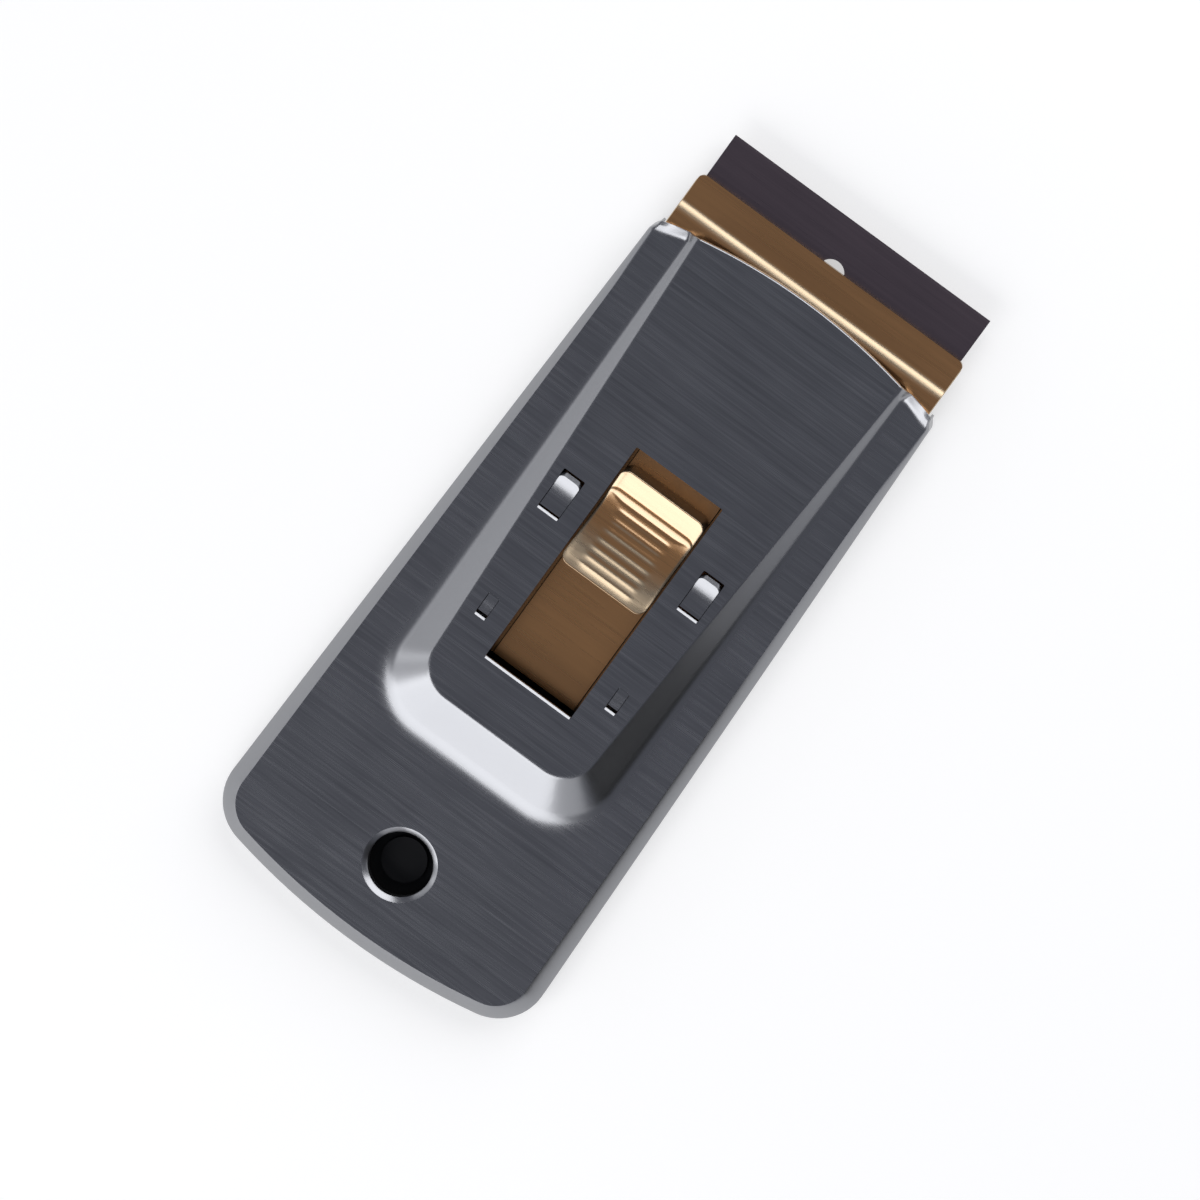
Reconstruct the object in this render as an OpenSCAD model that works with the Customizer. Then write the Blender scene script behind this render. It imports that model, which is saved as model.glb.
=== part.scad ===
// Retractable razor blade scraper with a pressed steel casing.
// +Y points to the blade, +Z is the thumb side, and the back rests on Z = 0.
// Places along the tool are distances behind the middle of the casing's mouth.

/* [Blade] */
// Width of the blade along its edge
blade_w = 38.1; // [30:0.1:50]
// Depth of the blade from its edge to the back of its spine
blade_depth = 19.05; // [17:0.05:21]
// Thickness of the blade
blade_t = 0.25; // [0.2:0.01:0.4]
// Diameter of the round hole in the blade
blade_hole_d = 3.4; // [2:0.1:4]
// Distance of the hole's centre behind the edge
blade_hole_set = 6.8; // [5:0.1:7.5]
// Width of the ground bevel along the edge
edge_grind = 1.3; // [0.5:0.1:2.5]
// Thickness left along the sharp edge
edge_t = 0.04; // [0.02:0.01:0.1]
// Depth of the folded spine
spine_depth = 4.6; // [3:0.1:5]
// Thickness over the folded spine
spine_t = 1.3; // [1:0.05:1.6]

/* [Blade carrier] */
// Distance of the blade's edge ahead of the mouth
blade_throw = 10.75; // [9:0.05:12]
// Length of blade that shows ahead of the jaw
blade_show = 6; // [4:0.1:7]
// Thickness of the carrier's sheet
carrier_t = 0.7; // [0.5:0.05:1]
// How far the carrier stands past the blade on each side
jaw_overhang = 0.7; // [0.3:0.05:2]
// Length of the flat jaw ahead of its step
jaw_flat = 4.2; // [2.5:0.1:4.5]
// Length of the step behind the jaw
jaw_step = 1.1; // [0.8:0.1:2]
// Radius of the jaw's front corners
jaw_corner_r = 1; // [0.2:0.1:3]
// Length of the carrier's wide front
carrier_front_l = 22.75; // [22:0.05:24]
// Width of the carrier's tongue
tongue_w = 24; // [22:0.5:28]
// Thickness of the clamp plate's sheet
clamp_t = 0.6; // [0.4:0.05:0.9]
// Width of the clamp plate
clamp_w = 34; // [32:0.5:37]
// Distance of the clamp plate's front behind the jaw's front
clamp_set = 3.3; // [3:0.1:4]
// Length of the clamp plate's riveted seat
clamp_seat_l = 6.4; // [5.5:0.1:7]
// Diameter of a rivet
rivet_d = 2.4; // [1.5:0.1:3]
// Diameter of a rivet's head
rivet_head_d = 4.4; // [3.5:0.1:5]
// Height of a rivet's head
rivet_head_h = 0.4; // [0.2:0.05:0.5]
// Distance of the inner rivets from the middle
rivet_inner_x = 5.5; // [4:0.1:7]
// Distance of the outer rivets from the middle
rivet_outer_x = 13; // [11:0.1:14]

/* [Thumb grip] */
// Width of the grip
grip_w = 12.3; // [9:0.1:14]
// Length of the ribbed grip
grip_l = 15; // [13:0.1:18]
// Distance of the grip's head end behind the mouth
grip_set = 28.15; // [26:0.05:30]
// Thickness of the grip's sheet
grip_t = 0.6; // [0.4:0.05:0.8]
// Height of the head crest above the casing around it
head_crest_h = 1.5; // [0.8:0.1:2.5]
// Height of the tail crest above the casing around it
tail_crest_h = 0.9; // [0.4:0.1:2]
// Depth of the thumb saddle below a line over the crests
saddle_depth = 0.6; // [0.2:0.05:1]
// Radius of the head crest
head_crest_r = 2.8; // [1.5:0.1:3.5]
// Radius of the tail crest
tail_crest_r = 1.1; // [0.8:0.1:1.5]
// Number of ribs across the saddle
rib_count = 8; // [4:1:12]
// Height of a rib
rib_h = 0.3; // [0.1:0.05:0.5]
// Length of the grip's foot ahead of its head end
grip_foot_l = 6; // [3:0.1:8]

/* [Travel] */
// Travel of the carrier from the working place back into the casing
retract_travel = 14.8; // [12:0.1:15]
// Travel of the carrier forward to the place for a new blade
change_travel = 1.5; // [0.5:0.1:2]
// Room left at the ends of the window
stop_gap = 0.2; // [0.1:0.05:0.5]
// Room beside the grip in the window
window_gap = 0.3; // [0.15:0.05:0.6]

/* [Casing] */
// Thickness of the casing's sheet
sheet_t = 0.8; // [0.6:0.05:1]
// Length of the casing behind the platform's top
tail_l = 33.2; // [28:0.05:45]
// How much wider each side is at the tail than at the mouth
flare = 3.1; // [1:0.1:6]
// Radius of the mouth's front arc
mouth_arc_r = 77; // [70:1:120]
// Radius of the tail's arc
tail_arc_r = 88; // [60:1:120]
// Radius of the tail's corners
tail_corner_r = 6.75; // [4:0.25:10]
// Radius of the rolled rim at the mouth
rim_mouth_r = 0.85; // [0.5:0.05:1.2]
// Radius of the rolled rim at the tail
rim_tail_r = 2.1; // [1.5:0.05:2.4]
// Radius of the lips rolled down at the mouth's corners
lip_r = 1.1; // [0.9:0.05:1.2]
// Room beside the carrier in the mouth
side_gap = 0.25; // [0.15:0.05:0.6]
// Room between the carrier and the casing above it
flange_gap = 0.65; // [0.6:0.05:1.2]
// Height of the skirt's edge above the rest plane
skirt_lift = 0.35; // [0.2:0.05:0.6]

/* [Platform] */
// Width of the platform at its foot
foot_w = 32.5; // [31:0.1:36]
// Length of the platform's top behind the window
platform_end = 7.3; // [6:0.05:9]
// Height of the platform above the flanges at the mouth
platform_rise = 0.9; // [0.7:0.05:1.5]
// Slope of the platform's top, in degrees
platform_angle = 2.63; // [2:0.05:3.2]
// Slope of the platform's sides, in degrees
side_slope = 43; // [38:1:55]
// Slope of the platform's tail, in degrees
tail_slope = 32; // [25:1:50]
// Radius of the top's tail corners
crease_corner_r = 3.2; // [2:0.1:4]
// Radius of the foot's tail corners
foot_corner_r = 5.5; // [4:0.1:7]

/* [Lances] */
// Distance of the upper lances from the middle
upper_lance_x = 10.5; // [9:0.1:11]
// Distance of the upper lances' head ends behind the mouth
upper_lance_set = 33.75; // [31:0.05:34]
// Length of an upper lance's slot
upper_lance_l = 5.6; // [4:0.1:5.8]
// Width of an upper lance
upper_lance_w = 3.1; // [2:0.1:3.5]
// Tilt of an upper lance, in degrees
upper_lance_tilt = 20; // [12:1:24]
// Distance of the lower lances from the middle
lower_lance_x = 9.8; // [9:0.1:10.5]
// Distance of the lower lances' head ends behind the mouth
lower_lance_set = 51.5; // [50:0.05:52]
// Length of a lower lance's slot
lower_lance_l = 3; // [2:0.1:3.5]
// Width of a lower lance
lower_lance_w = 1.6; // [1:0.1:2.2]
// Tilt of a lower lance, in degrees
lower_lance_tilt = 15; // [8:1:18]
// Slit at a lance's cut end
lance_slit = 0.25; // [0.15:0.05:0.4]

/* [Hang hole] */
// Diameter of the hang hole
hole_d = 8.2; // [6:0.1:10]
// Distance of the hole's centre from the tail
hole_set = 12; // [10:0.1:14]
// Radius of the hole's drawn-in edge
hole_round_r = 0.7; // [0.4:0.05:1]
// Depth of the hole's drawn-in collar below the flange
hole_collar = 1.9; // [1.5:0.1:2.4]

/* [Back shell] */
// Room between the clamp plate and the floor
floor_gap = 0.2; // [0.1:0.05:0.5]
// Room between the back shell and the skirt round it
shell_fit = 0.05; // [0.03:0.01:0.1]
// Distance of the back's front edge behind the mouth's arc
back_set = 1.2; // [0.5:0.1:2.5]
// Distance of the upturned rim's front end behind the mouth
rim_set = 36; // [34:0.5:40]
// Height of the upturned rim
rim_h = 2.8; // [2:0.1:2.9]
// Width of a guide rib
guide_w = 3.4; // [2.4:0.1:4.5]
// Distance of the guide ribs' head ends behind the mouth
guide_set = 36; // [34:0.5:40]
// Length of a guide rib
guide_l = 39; // [30:0.5:40]
// Room between the guide ribs and the carrier
guide_gap = 0.1; // [0.05:0.01:0.3]
// Radius of the round pad under the hang hole
pad_r = 2.9; // [2:0.1:3.5]
// Height of the round pad above the floor
pad_h = 0.8; // [0.4:0.1:1.5]
// Radius of a crimp between the shells
crimp_r = 0.9; // [0.6:0.05:1.1]
// Height of the crimps above the rest plane
crimp_lift = 1.7; // [1.5:0.05:1.8]

/* [Friction spring] */
// Thickness of the spring's leaf
spring_t = 0.3; // [0.2:0.05:0.4]
// Width of a spring leg
leg_w = 2.4; // [1.5:0.1:2.6]
// Length of the bar that joins the legs
bar_l = 3; // [2:0.1:3.5]
// Room between the window and the bar
bar_gap = 1; // [0.5:0.1:1.4]
// Room between the legs' tips and the upper lances
tip_gap = 0.9; // [0.5:0.1:1.5]
// Room between the spring and the faces that it bears on
spring_fit = 0.05; // [0.03:0.01:0.1]

/* [Hidden] */
$fn = 64;
overrun = 2;
spine_gap = 0.05;
rivet_fit = 0.03;
clamp_bend_l = 0.9;
clamp_rise_l = 1.3;
crimp_sets = [46, 64, 82];
sides = [-1, 1];
steel = [0.55, 0.57, 0.6];
gold = [0.72, 0.58, 0.32];
blade_steel = [0.3, 0.29, 0.31];

// Heights of the stack, from the floor up
slide_z = sheet_t + floor_gap + clamp_t + spine_gap + spine_t / 2;
jaw_z = slide_z + blade_t / 2;
lip_z = slide_z - blade_t / 2 - clamp_t;
clamp_low_z = sheet_t + floor_gap;
carrier_z = slide_z + spine_t / 2 + spine_gap;
carrier_top = carrier_z + carrier_t;
flange_low = carrier_top + flange_gap;
flange_z = flange_low + sheet_t;

// Places along the tool, as distances behind the mouth
jaw_front = blade_show - blade_throw;
step_front = jaw_front + jaw_flat;
step_back = step_front + jaw_step;
carrier_front_end = jaw_front + carrier_front_l;
spine_back = blade_depth - blade_throw;
spine_front = spine_back - spine_depth;
grip_end = grip_set + grip_l;
window_head = grip_set - change_travel - stop_gap;
window_tail = grip_end + retract_travel + stop_gap;
tongue_end = window_tail + stop_gap;
clamp_front = jaw_front + clamp_set;
clamp_low_front = spine_front - clamp_bend_l;
clamp_low_back = spine_back + clamp_bend_l;
clamp_seat_front = clamp_low_back + clamp_rise_l;
clamp_seat_end = clamp_seat_front + clamp_seat_l;
rivet_set = clamp_seat_front + clamp_seat_l / 2;
bar_head = window_tail + bar_gap;
bar_tail = bar_head + bar_l;
leg_tip = upper_lance_set + upper_lance_l + tip_gap;
platform_l = window_tail + platform_end;
casing_l = platform_l + tail_l;

// Ends of the casing on the Y axis, with the object's middle over the origin
mouth_y = casing_l / 2 - blade_throw / 2;
tail_y = mouth_y - casing_l;
head_end_y = mouth_y + overrun;

// Widths
carrier_w = blade_w + 2 * jaw_overhang;
window_w = grip_w + 2 * window_gap;
mouth_w = carrier_w + 2 * side_gap + 2 * sheet_t;
spine_wall = (spine_t - blade_t) / 2;
wall_inset = sheet_t * tan(side_slope / 2);
back_inset = sheet_t + shell_fit;

// Turns a distance behind the mouth into a place on the Y axis
function back(distance) = mouth_y - distance;

// The platform's top over a place on the Y axis
function platform_z(y) = flange_z + platform_rise + (mouth_y - y) * tan(platform_angle);

// Points round an arc, from one angle to another
function arc(centre, r, from, to, steps) =
    [for (i = [0:steps]) centre + r * direction(from + (to - from) * i / steps)];

// A unit step at an angle
function direction(angle) = [cos(angle), sin(angle)];

// The left hand side of a line
function left(line) = [-line.y, line.x] / norm(line);

// The step that shifts a point of a path to its left by one unit, mitred at its bends
function mitre(path, i) =
    let (last = len(path) - 1)
    let (ahead = left(path[min(i + 1, last)] - path[min(i, last - 1)]))
    let (behind = left(path[max(i, 1)] - path[max(i - 1, 0)]))
    (ahead + behind) / (1 + ahead * behind);

// The far side of a sheet that lies to the left of a path, from the path's end to its start
function far_side(path, t) = [for (i = [len(path) - 1:-1:0]) path[i] + t * mitre(path, i)];

// A path along the tool, given as distances behind the mouth and heights
function along(path) = [for (p = path) [back(p[0]), p[1]]];

// A solid with a lengthwise outline, extruded across the tool
module across(outline, w) {
    rotate([90, 0, 90]) linear_extrude(w, center = true) polygon(outline);
}

// A bent sheet that lies on a path running from tail to head
module bent_sheet(path, t, w) {
    across(concat(path, far_side(path, t)), w);
}

// A closed solid through rings of points, from the lowest ring to the highest
module loft(rings) {
    count = len(rings[0]);
    last = len(rings) - 1;
    sides_of_rings = [for (k = [0:last - 1], i = [0:count - 1])
        let (j = (i + 1) % count)
        each [[k * count + i, k * count + j, (k + 1) * count + j],
            [k * count + i, (k + 1) * count + j, (k + 1) * count + i]]];
    floor_face = [for (i = [count - 1:-1:0]) i];
    top_face = [for (i = [0:count - 1]) last * count + i];
    polyhedron([for (ring = rings) each ring], concat([floor_face, top_face], sides_of_rings));
}

// The casing's plan: straight flared sides, round corners and a bowed tail.
// The corner's circle touches the side's line and the tail's arc.
side_lean = flare / casing_l;
side_angle = atan(side_lean);
side_stretch = norm([1, side_lean]);
tail_centre_y = tail_y + tail_arc_r;
corner_line = mouth_w / 2 + side_lean * mouth_y - tail_corner_r * side_stretch;
corner_half = corner_line * side_lean + tail_centre_y;
corner_rest = corner_line ^ 2 + tail_centre_y ^ 2 - (tail_arc_r - tail_corner_r) ^ 2;
corner_y = (corner_half - sqrt(corner_half ^ 2 - side_stretch ^ 2 * corner_rest)) / side_stretch ^ 2;
corner_x = corner_line - side_lean * corner_y;
corner_angle = atan2(corner_y - tail_centre_y, corner_x);
corner_steps = 9;
tail_steps = 8;

// Half of the casing's width at a place on the Y axis
function side_x(y) = mouth_w / 2 + side_lean * (mouth_y - y);

// The outline's outward directions, from the right side round the tail to the left side
right_angles = [for (i = [0:corner_steps]) side_angle + (corner_angle - side_angle) * i / corner_steps];
tail_span = -180 - 2 * corner_angle;
tail_angles = [for (i = [1:tail_steps - 1]) corner_angle + tail_span * i / tail_steps];
left_angles = [for (i = [corner_steps:-1:0]) -180 - right_angles[i]];
outline_angles = concat([side_angle], right_angles, tail_angles, left_angles, [-180 - side_angle]);

// The outline's points, in the same order
right_points = arc([corner_x, corner_y], tail_corner_r, side_angle, corner_angle, corner_steps);
tail_points = [for (a = tail_angles) [0, tail_centre_y] + tail_arc_r * direction(a)];
left_points = [for (i = [corner_steps:-1:0]) [-right_points[i].x, right_points[i].y]];
outline_points = concat([[side_x(head_end_y), head_end_y]], right_points, tail_points, left_points,
    [[-side_x(head_end_y), head_end_y]]);

// The outline drawn in by an even inset
function outline(inset) =
    [for (i = [0:len(outline_points) - 1]) outline_points[i] - inset * direction(outline_angles[i])];

// The rolled rim's radius at a place on the Y axis
function rim_r(y) = rim_mouth_r + (rim_tail_r - rim_mouth_r) * max(0, mouth_y - y) / casing_l;

// A ring of the casing, at an angle up its rolled rim, for a sheet surface drawn in by an inset
function rim_ring(angle, inset, top) =
    [for (i = [0:len(outline_points) - 1])
        let (r = max(rim_r(outline_points[i].y) - inset, rim_mouth_r / 4))
        let (p = outline_points[i] - (inset + r * (1 - cos(angle))) * direction(outline_angles[i]))
        [p.x, p.y, top - r * (1 - sin(angle))]];

// A level ring of the outline
function level_ring(inset, z) = [for (p = outline(inset)) [p.x, p.y, z]];

// A casing body below the flanges' surface
module casing_body(inset, low, top) {
    roll_steps = 4;
    roll = [for (i = [0:roll_steps]) rim_ring(90 * i / roll_steps, inset, top)];
    loft(concat([level_ring(inset, low)], roll));
}

// The platform's plan at its foot and along its crease, as half outlines on the right side
foot_tail = platform_l + (platform_z(back(platform_l)) - flange_z) / tan(tail_slope);
crease_lean = tan(platform_angle) / tan(side_slope);
crease_angle = -atan(crease_lean);
platform_steps = 6;

// Half of the top's width at a place on the Y axis
function crease_x(y) = foot_w / 2 - (platform_z(y) - flange_z) / tan(side_slope);

// The spring's legs and the guide ribs run midway between the window and the platform's wall
leg_x = (window_w / 2 + crease_x(back(bar_tail)) - wall_inset) / 2;

function foot_half(inset) =
    let (centre = [foot_w / 2 - foot_corner_r, back(foot_tail) + foot_corner_r])
    concat([[foot_w / 2 - inset, head_end_y]],
        arc(centre, foot_corner_r - inset, 0, -90, platform_steps));

function crease_half(inset) =
    let (y = back(platform_l) + crease_corner_r)
    let (centre = [crease_x(y) - crease_corner_r / cos(crease_angle), y])
    concat([[crease_x(head_end_y) - inset, head_end_y]],
        arc(centre, crease_corner_r - inset, crease_angle, -90, platform_steps));

// Both sides of a half outline
function both_sides(half) = concat(half, [for (i = [len(half) - 1:-1:0]) [-half[i].x, half[i].y]]);

module platform_body(inset, drop, low) {
    foot = both_sides(foot_half(inset));
    crease = both_sides(crease_half(inset));
    loft([
        [for (p = foot) [p.x, p.y, low]],
        [for (p = foot) [p.x, p.y, flange_z - drop]],
        [for (p = crease) [p.x, p.y, platform_z(p.y) - drop]]]);
}

// Everything behind an arc in front of the mouth
module behind_arc(set, top) {
    translate([0, mouth_y - mouth_arc_r, -overrun])
        cylinder(r = mouth_arc_r - set, h = top + 2 * overrun, $fn = 180);
}

// Places a lance on the platform's top
module on_platform(x, distance) {
    translate([x, back(distance), platform_z(back(distance))]) rotate([-platform_angle, 0, 0]) children();
}

// A slot through the platform's sheet
module lance_slot(w, l) {
    translate([-w / 2, -l / 2, -sheet_t - overrun]) cube([w, l, sheet_t + 2 * overrun]);
}

// A lance that stands up at its round head end and sinks at its cut tail end
module upper_lance() {
    room = upper_lance_l - lance_slit * 2 - sheet_t;
    bar = room / cos(upper_lance_tilt);
    translate([0, 0, -sheet_t / 2]) rotate([upper_lance_tilt, 0, 0]) {
        cube([upper_lance_w, bar, sheet_t], center = true);
        translate([-upper_lance_w / 2, bar / 2, 0]) rotate([0, 90, 0])
            cylinder(d = sheet_t, h = upper_lance_w);
    }
}

// A small lance that hangs from its head end and sinks at its cut tail end
module lower_lance() {
    bar = (lower_lance_l - lance_slit) / cos(lower_lance_tilt);
    translate([0, lower_lance_l / 2, 0]) rotate([lower_lance_tilt, 0, 0])
        translate([-lower_lance_w / 2, -bar, -sheet_t]) cube([lower_lance_w, bar, sheet_t]);
}

// Both lances of a kind, mirrored
module pair_of(x, distance) {
    for (side = sides) on_platform(side * x, distance) children();
}

// Runs round the mouth's arc at the flanges in front of the casing's corners
module round_mouth_corners() {
    from = asin(foot_w / 2 / mouth_arc_r);
    to = asin((mouth_w / 2 - sheet_t) / mouth_arc_r);
    for (side = [0, 1]) mirror([side, 0, 0]) translate([0, mouth_y - mouth_arc_r, 0]) rotate([0, 0, 90 - to])
        rotate_extrude(angle = to - from) children();
}

// The section of a lip that is rolled down
module lip_section() {
    translate([mouth_arc_r - lip_r, flange_z - lip_r]) intersection() {
        difference() {
            circle(lip_r);
            circle(lip_r - sheet_t);
        }
        square(lip_r);
    }
}

// The section of the flange that a lip takes the place of
module lip_seat() {
    translate([mouth_arc_r - lip_r, flange_low - overrun]) square([lip_r + overrun, sheet_t + 2 * overrun]);
}

// The hang hole's collar, drawn in and down
module hole_collar() {
    translate([0, tail_y + hole_set, flange_z]) rotate_extrude() translate([hole_d / 2, 0]) {
        translate([0, -hole_collar]) square([sheet_t, hole_collar - hole_round_r]);
        translate([hole_round_r, -hole_round_r]) intersection() {
            circle(hole_round_r);
            translate([-hole_round_r, 0]) square(hole_round_r);
        }
        translate([hole_round_r, -sheet_t]) square(sheet_t);
    }
}

// Places a crimp on the skirt's side, pointing outwards
module at_crimps() {
    for (side = [0, 1], distance = crimp_sets) mirror([side, 0, 0])
        translate([side_x(back(distance)), back(distance), crimp_lift])
            rotate([0, 0, side_angle]) rotate([0, 90, 0]) children();
}

module top_shell() {
    color(steel) union() {
        difference() {
            intersection() {
                union() {
                    casing_body(0, skirt_lift, flange_z);
                    platform_body(0, 0, flange_low + sheet_t / 2);
                }
                behind_arc(0, platform_z(tail_y));
            }
            casing_body(sheet_t, skirt_lift - overrun, flange_low);
            platform_body(wall_inset, sheet_t, flange_low - sheet_t);
            translate([-window_w / 2, back(window_tail), flange_low])
                cube([window_w, window_tail - window_head, platform_z(tail_y)]);
            pair_of(upper_lance_x, upper_lance_set + upper_lance_l / 2) lance_slot(upper_lance_w, upper_lance_l);
            pair_of(lower_lance_x, lower_lance_set + lower_lance_l / 2) lance_slot(lower_lance_w, lower_lance_l);
            round_mouth_corners() lip_seat();
            translate([0, tail_y + hole_set, flange_low - overrun])
                cylinder(d = hole_d + 2 * hole_round_r, h = sheet_t + 2 * overrun);
            at_crimps() sphere(crimp_r / 2);
        }
        pair_of(upper_lance_x, upper_lance_set + upper_lance_l / 2) upper_lance();
        pair_of(lower_lance_x, lower_lance_set + lower_lance_l / 2) lower_lance();
        round_mouth_corners() lip_section();
        hole_collar();
        at_crimps() translate([0, 0, -back_inset - sheet_t * 3 / 4])
            cylinder(r = crimp_r, h = shell_fit + sheet_t);
    }
}

// A slot with round ends, along the tool
module long_slot(w, l, h) {
    translate([-w / 2, w / 2, 0]) cube([w, l - w, h]);
    for (y = [w / 2, l - w / 2]) translate([0, y, 0]) cylinder(d = w, h = h);
}

// Places both guide ribs
module at_guides() {
    for (side = sides) translate([side * leg_x, back(guide_set + guide_l), 0]) children();
}

module back_shell() {
    guide_top = carrier_z - guide_gap;
    groove_w = guide_w - 2 * sheet_t;
    color(steel) difference() {
        union() {
            intersection() {
                linear_extrude(sheet_t) polygon(outline(back_inset));
                behind_arc(back_set, sheet_t);
            }
            difference() {
                linear_extrude(rim_h) polygon(outline(back_inset));
                translate([0, 0, -overrun]) linear_extrude(rim_h + 2 * overrun)
                    polygon(outline(back_inset + sheet_t));
                translate([-mouth_w, back(rim_set), -overrun])
                    cube([2 * mouth_w, casing_l, rim_h + 2 * overrun]);
            }
            at_guides() long_slot(guide_w, guide_l, guide_top);
            translate([0, tail_y + hole_set, 0]) cylinder(r = pad_r, h = sheet_t + pad_h);
        }
        at_guides() translate([0, sheet_t, -overrun])
            long_slot(groove_w, guide_l - 2 * sheet_t, guide_top - sheet_t + overrun);
        translate([0, tail_y + hole_set, -overrun]) cylinder(r = pad_r - sheet_t, h = pad_h + overrun);
        at_crimps() translate([0, 0, -back_inset - sheet_t - overrun])
            cylinder(r = crimp_r + shell_fit, h = sheet_t + 2 * overrun);
    }
}

// The spring's lower face: a bar under the platform, and legs bowed down to the carrier
module friction_spring() {
    bow_steps = 16;
    high = [for (i = [0:bow_steps]) bar_head + (leg_tip - bar_head) * i / bow_steps];
    middle = platform_z(back((bar_head + leg_tip) / 2)) - sheet_t - spring_fit - spring_t;
    drop = middle - carrier_top - spring_fit;
    function roof(distance) = platform_z(back(distance)) - sheet_t - spring_fit - spring_t;
    bow = [for (i = [0:bow_steps]) [high[i], roof(high[i]) - drop * (1 - cos(360 * i / bow_steps)) / 2]];
    bar = [[bar_tail, roof(bar_tail)], [bar_head, roof(bar_head)]];
    color(steel) union() {
        bent_sheet(along(bar), spring_t, 2 * leg_x + leg_w);
        for (side = sides) translate([side * leg_x, 0, 0])
            bent_sheet(along(concat([bar[0]], bow)), spring_t, leg_w);
    }
}

// The rivets' places
module at_rivets() {
    for (side = sides, x = [rivet_inner_x, rivet_outer_x]) translate([side * x, back(rivet_set), 0]) children();
}

// Holes that the rivets pass through
module rivet_holes() {
    at_rivets() cylinder(d = rivet_d + 2 * rivet_fit, h = flange_z);
}

// The carrier's wide front in plan, with round front corners
module front_plan() {
    half = concat([[carrier_w / 2, back(carrier_front_end)]],
        arc([carrier_w / 2 - jaw_corner_r, back(jaw_front) - jaw_corner_r], jaw_corner_r, 0, 90, platform_steps));
    linear_extrude(flange_z) polygon(both_sides(half));
}

module blade_carrier() {
    path = [[carrier_front_end, carrier_z], [step_back, carrier_z], [step_front, jaw_z], [jaw_front, jaw_z]];
    color(gold) difference() {
        union() {
            intersection() {
                bent_sheet(along(path), carrier_t, carrier_w);
                front_plan();
            }
            translate([-tongue_w / 2, back(tongue_end), carrier_z])
                cube([tongue_w, tongue_end - carrier_front_end, carrier_t]);
        }
        rivet_holes();
    }
}

module clamp_plate() {
    path = [[clamp_seat_end, carrier_z - clamp_t], [clamp_seat_front, carrier_z - clamp_t],
        [clamp_low_back, clamp_low_z], [clamp_low_front, clamp_low_z],
        [clamp_low_front - clamp_bend_l, lip_z], [clamp_front, lip_z]];
    color(gold) difference() {
        bent_sheet(along(path), clamp_t, clamp_w);
        rivet_holes();
    }
}

module clamp_rivets() {
    shank = clamp_t + carrier_t;
    color(gold) at_rivets() translate([0, 0, carrier_z - clamp_t]) {
        cylinder(d = rivet_d, h = shank);
        translate([0, 0, shank]) cylinder(d = rivet_head_d, h = rivet_head_h);
        translate([0, 0, -rivet_head_h]) cylinder(d = rivet_head_d, h = rivet_head_h);
    }
}

// The grip is an arch over the carrier's tongue, with ribs across its thumb saddle
module thumb_grip() {
    foot_z = carrier_top + grip_t;
    head_top = platform_z(back(grip_set)) + head_crest_h;
    tail_top = platform_z(back(grip_end)) + tail_crest_h;
    rib_steps = 6 * rib_count;
    head_end_angle = 60;
    tail_end_angle = 120;
    head_crest = [for (p = arc([0, 0], head_crest_r, 180, head_end_angle, platform_steps))
        [grip_set + head_crest_r + p.x, head_top - head_crest_r + p.y]];
    tail_crest = [for (p = arc([0, 0], tail_crest_r, tail_end_angle, 0, platform_steps))
        [grip_end - tail_crest_r + p.x, tail_top - tail_crest_r + p.y]];
    start = head_crest[platform_steps];
    end = tail_crest[0];
    saddle = [for (i = [1:rib_steps - 1])
        start + (end - start) * i / rib_steps - [0, saddle_depth * sin(180 * i / rib_steps)]];
    ribs = [for (i = [1:rib_steps - 1])
        saddle[i - 1] + [0, rib_h * (1 - cos(360 * rib_count * i / rib_steps)) / 2]];
    head_foot = [[grip_set - grip_foot_l, foot_z], [grip_set, foot_z]];
    tail_foot = [[grip_end, foot_z], [window_tail, foot_z]];
    upper = along(concat(head_foot, head_crest, ribs, tail_crest, tail_foot));
    smooth = along(concat(head_foot, head_crest, saddle, tail_crest, tail_foot));
    color(gold) across(concat(upper, far_side(smooth, grip_t)), grip_w);
}

module blade() {
    edge_y = back(-blade_throw);
    back_y = back(spine_back - spine_wall);
    half = [[edge_y, edge_t / 2], [edge_y - edge_grind, blade_t / 2], [back_y, blade_t / 2]];
    outline = concat(half, [for (i = [len(half) - 1:-1:0]) [half[i].x, -half[i].y]]);
    color(blade_steel) translate([0, 0, slide_z]) difference() {
        across(outline, blade_w);
        translate([0, edge_y - blade_hole_set, -blade_t]) cylinder(d = blade_hole_d, h = 2 * blade_t);
    }
}

module blade_spine() {
    color(blade_steel) translate([0, 0, slide_z]) difference() {
        translate([-blade_w / 2, back(spine_back), -spine_t / 2]) cube([blade_w, spine_depth, spine_t]);
        translate([-blade_w / 2 - overrun, back(spine_back) + spine_wall, -blade_t / 2])
            cube([blade_w + 2 * overrun, spine_depth, blade_t]);
    }
}

top_shell();
back_shell();
friction_spring();
blade_carrier();
thumb_grip();
clamp_plate();
clamp_rivets();
blade();
blade_spine();
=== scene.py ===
"""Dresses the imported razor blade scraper: smooth pressed steel, gold plate and a ground blade.

+Y points to the blade and +Z is the thumb side. Lengths are in metres.
"""

import math

import bmesh
import bpy
from bpy.props import FloatProperty, FloatVectorProperty, IntProperty, PointerProperty
from mathutils import Matrix, Vector


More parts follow.
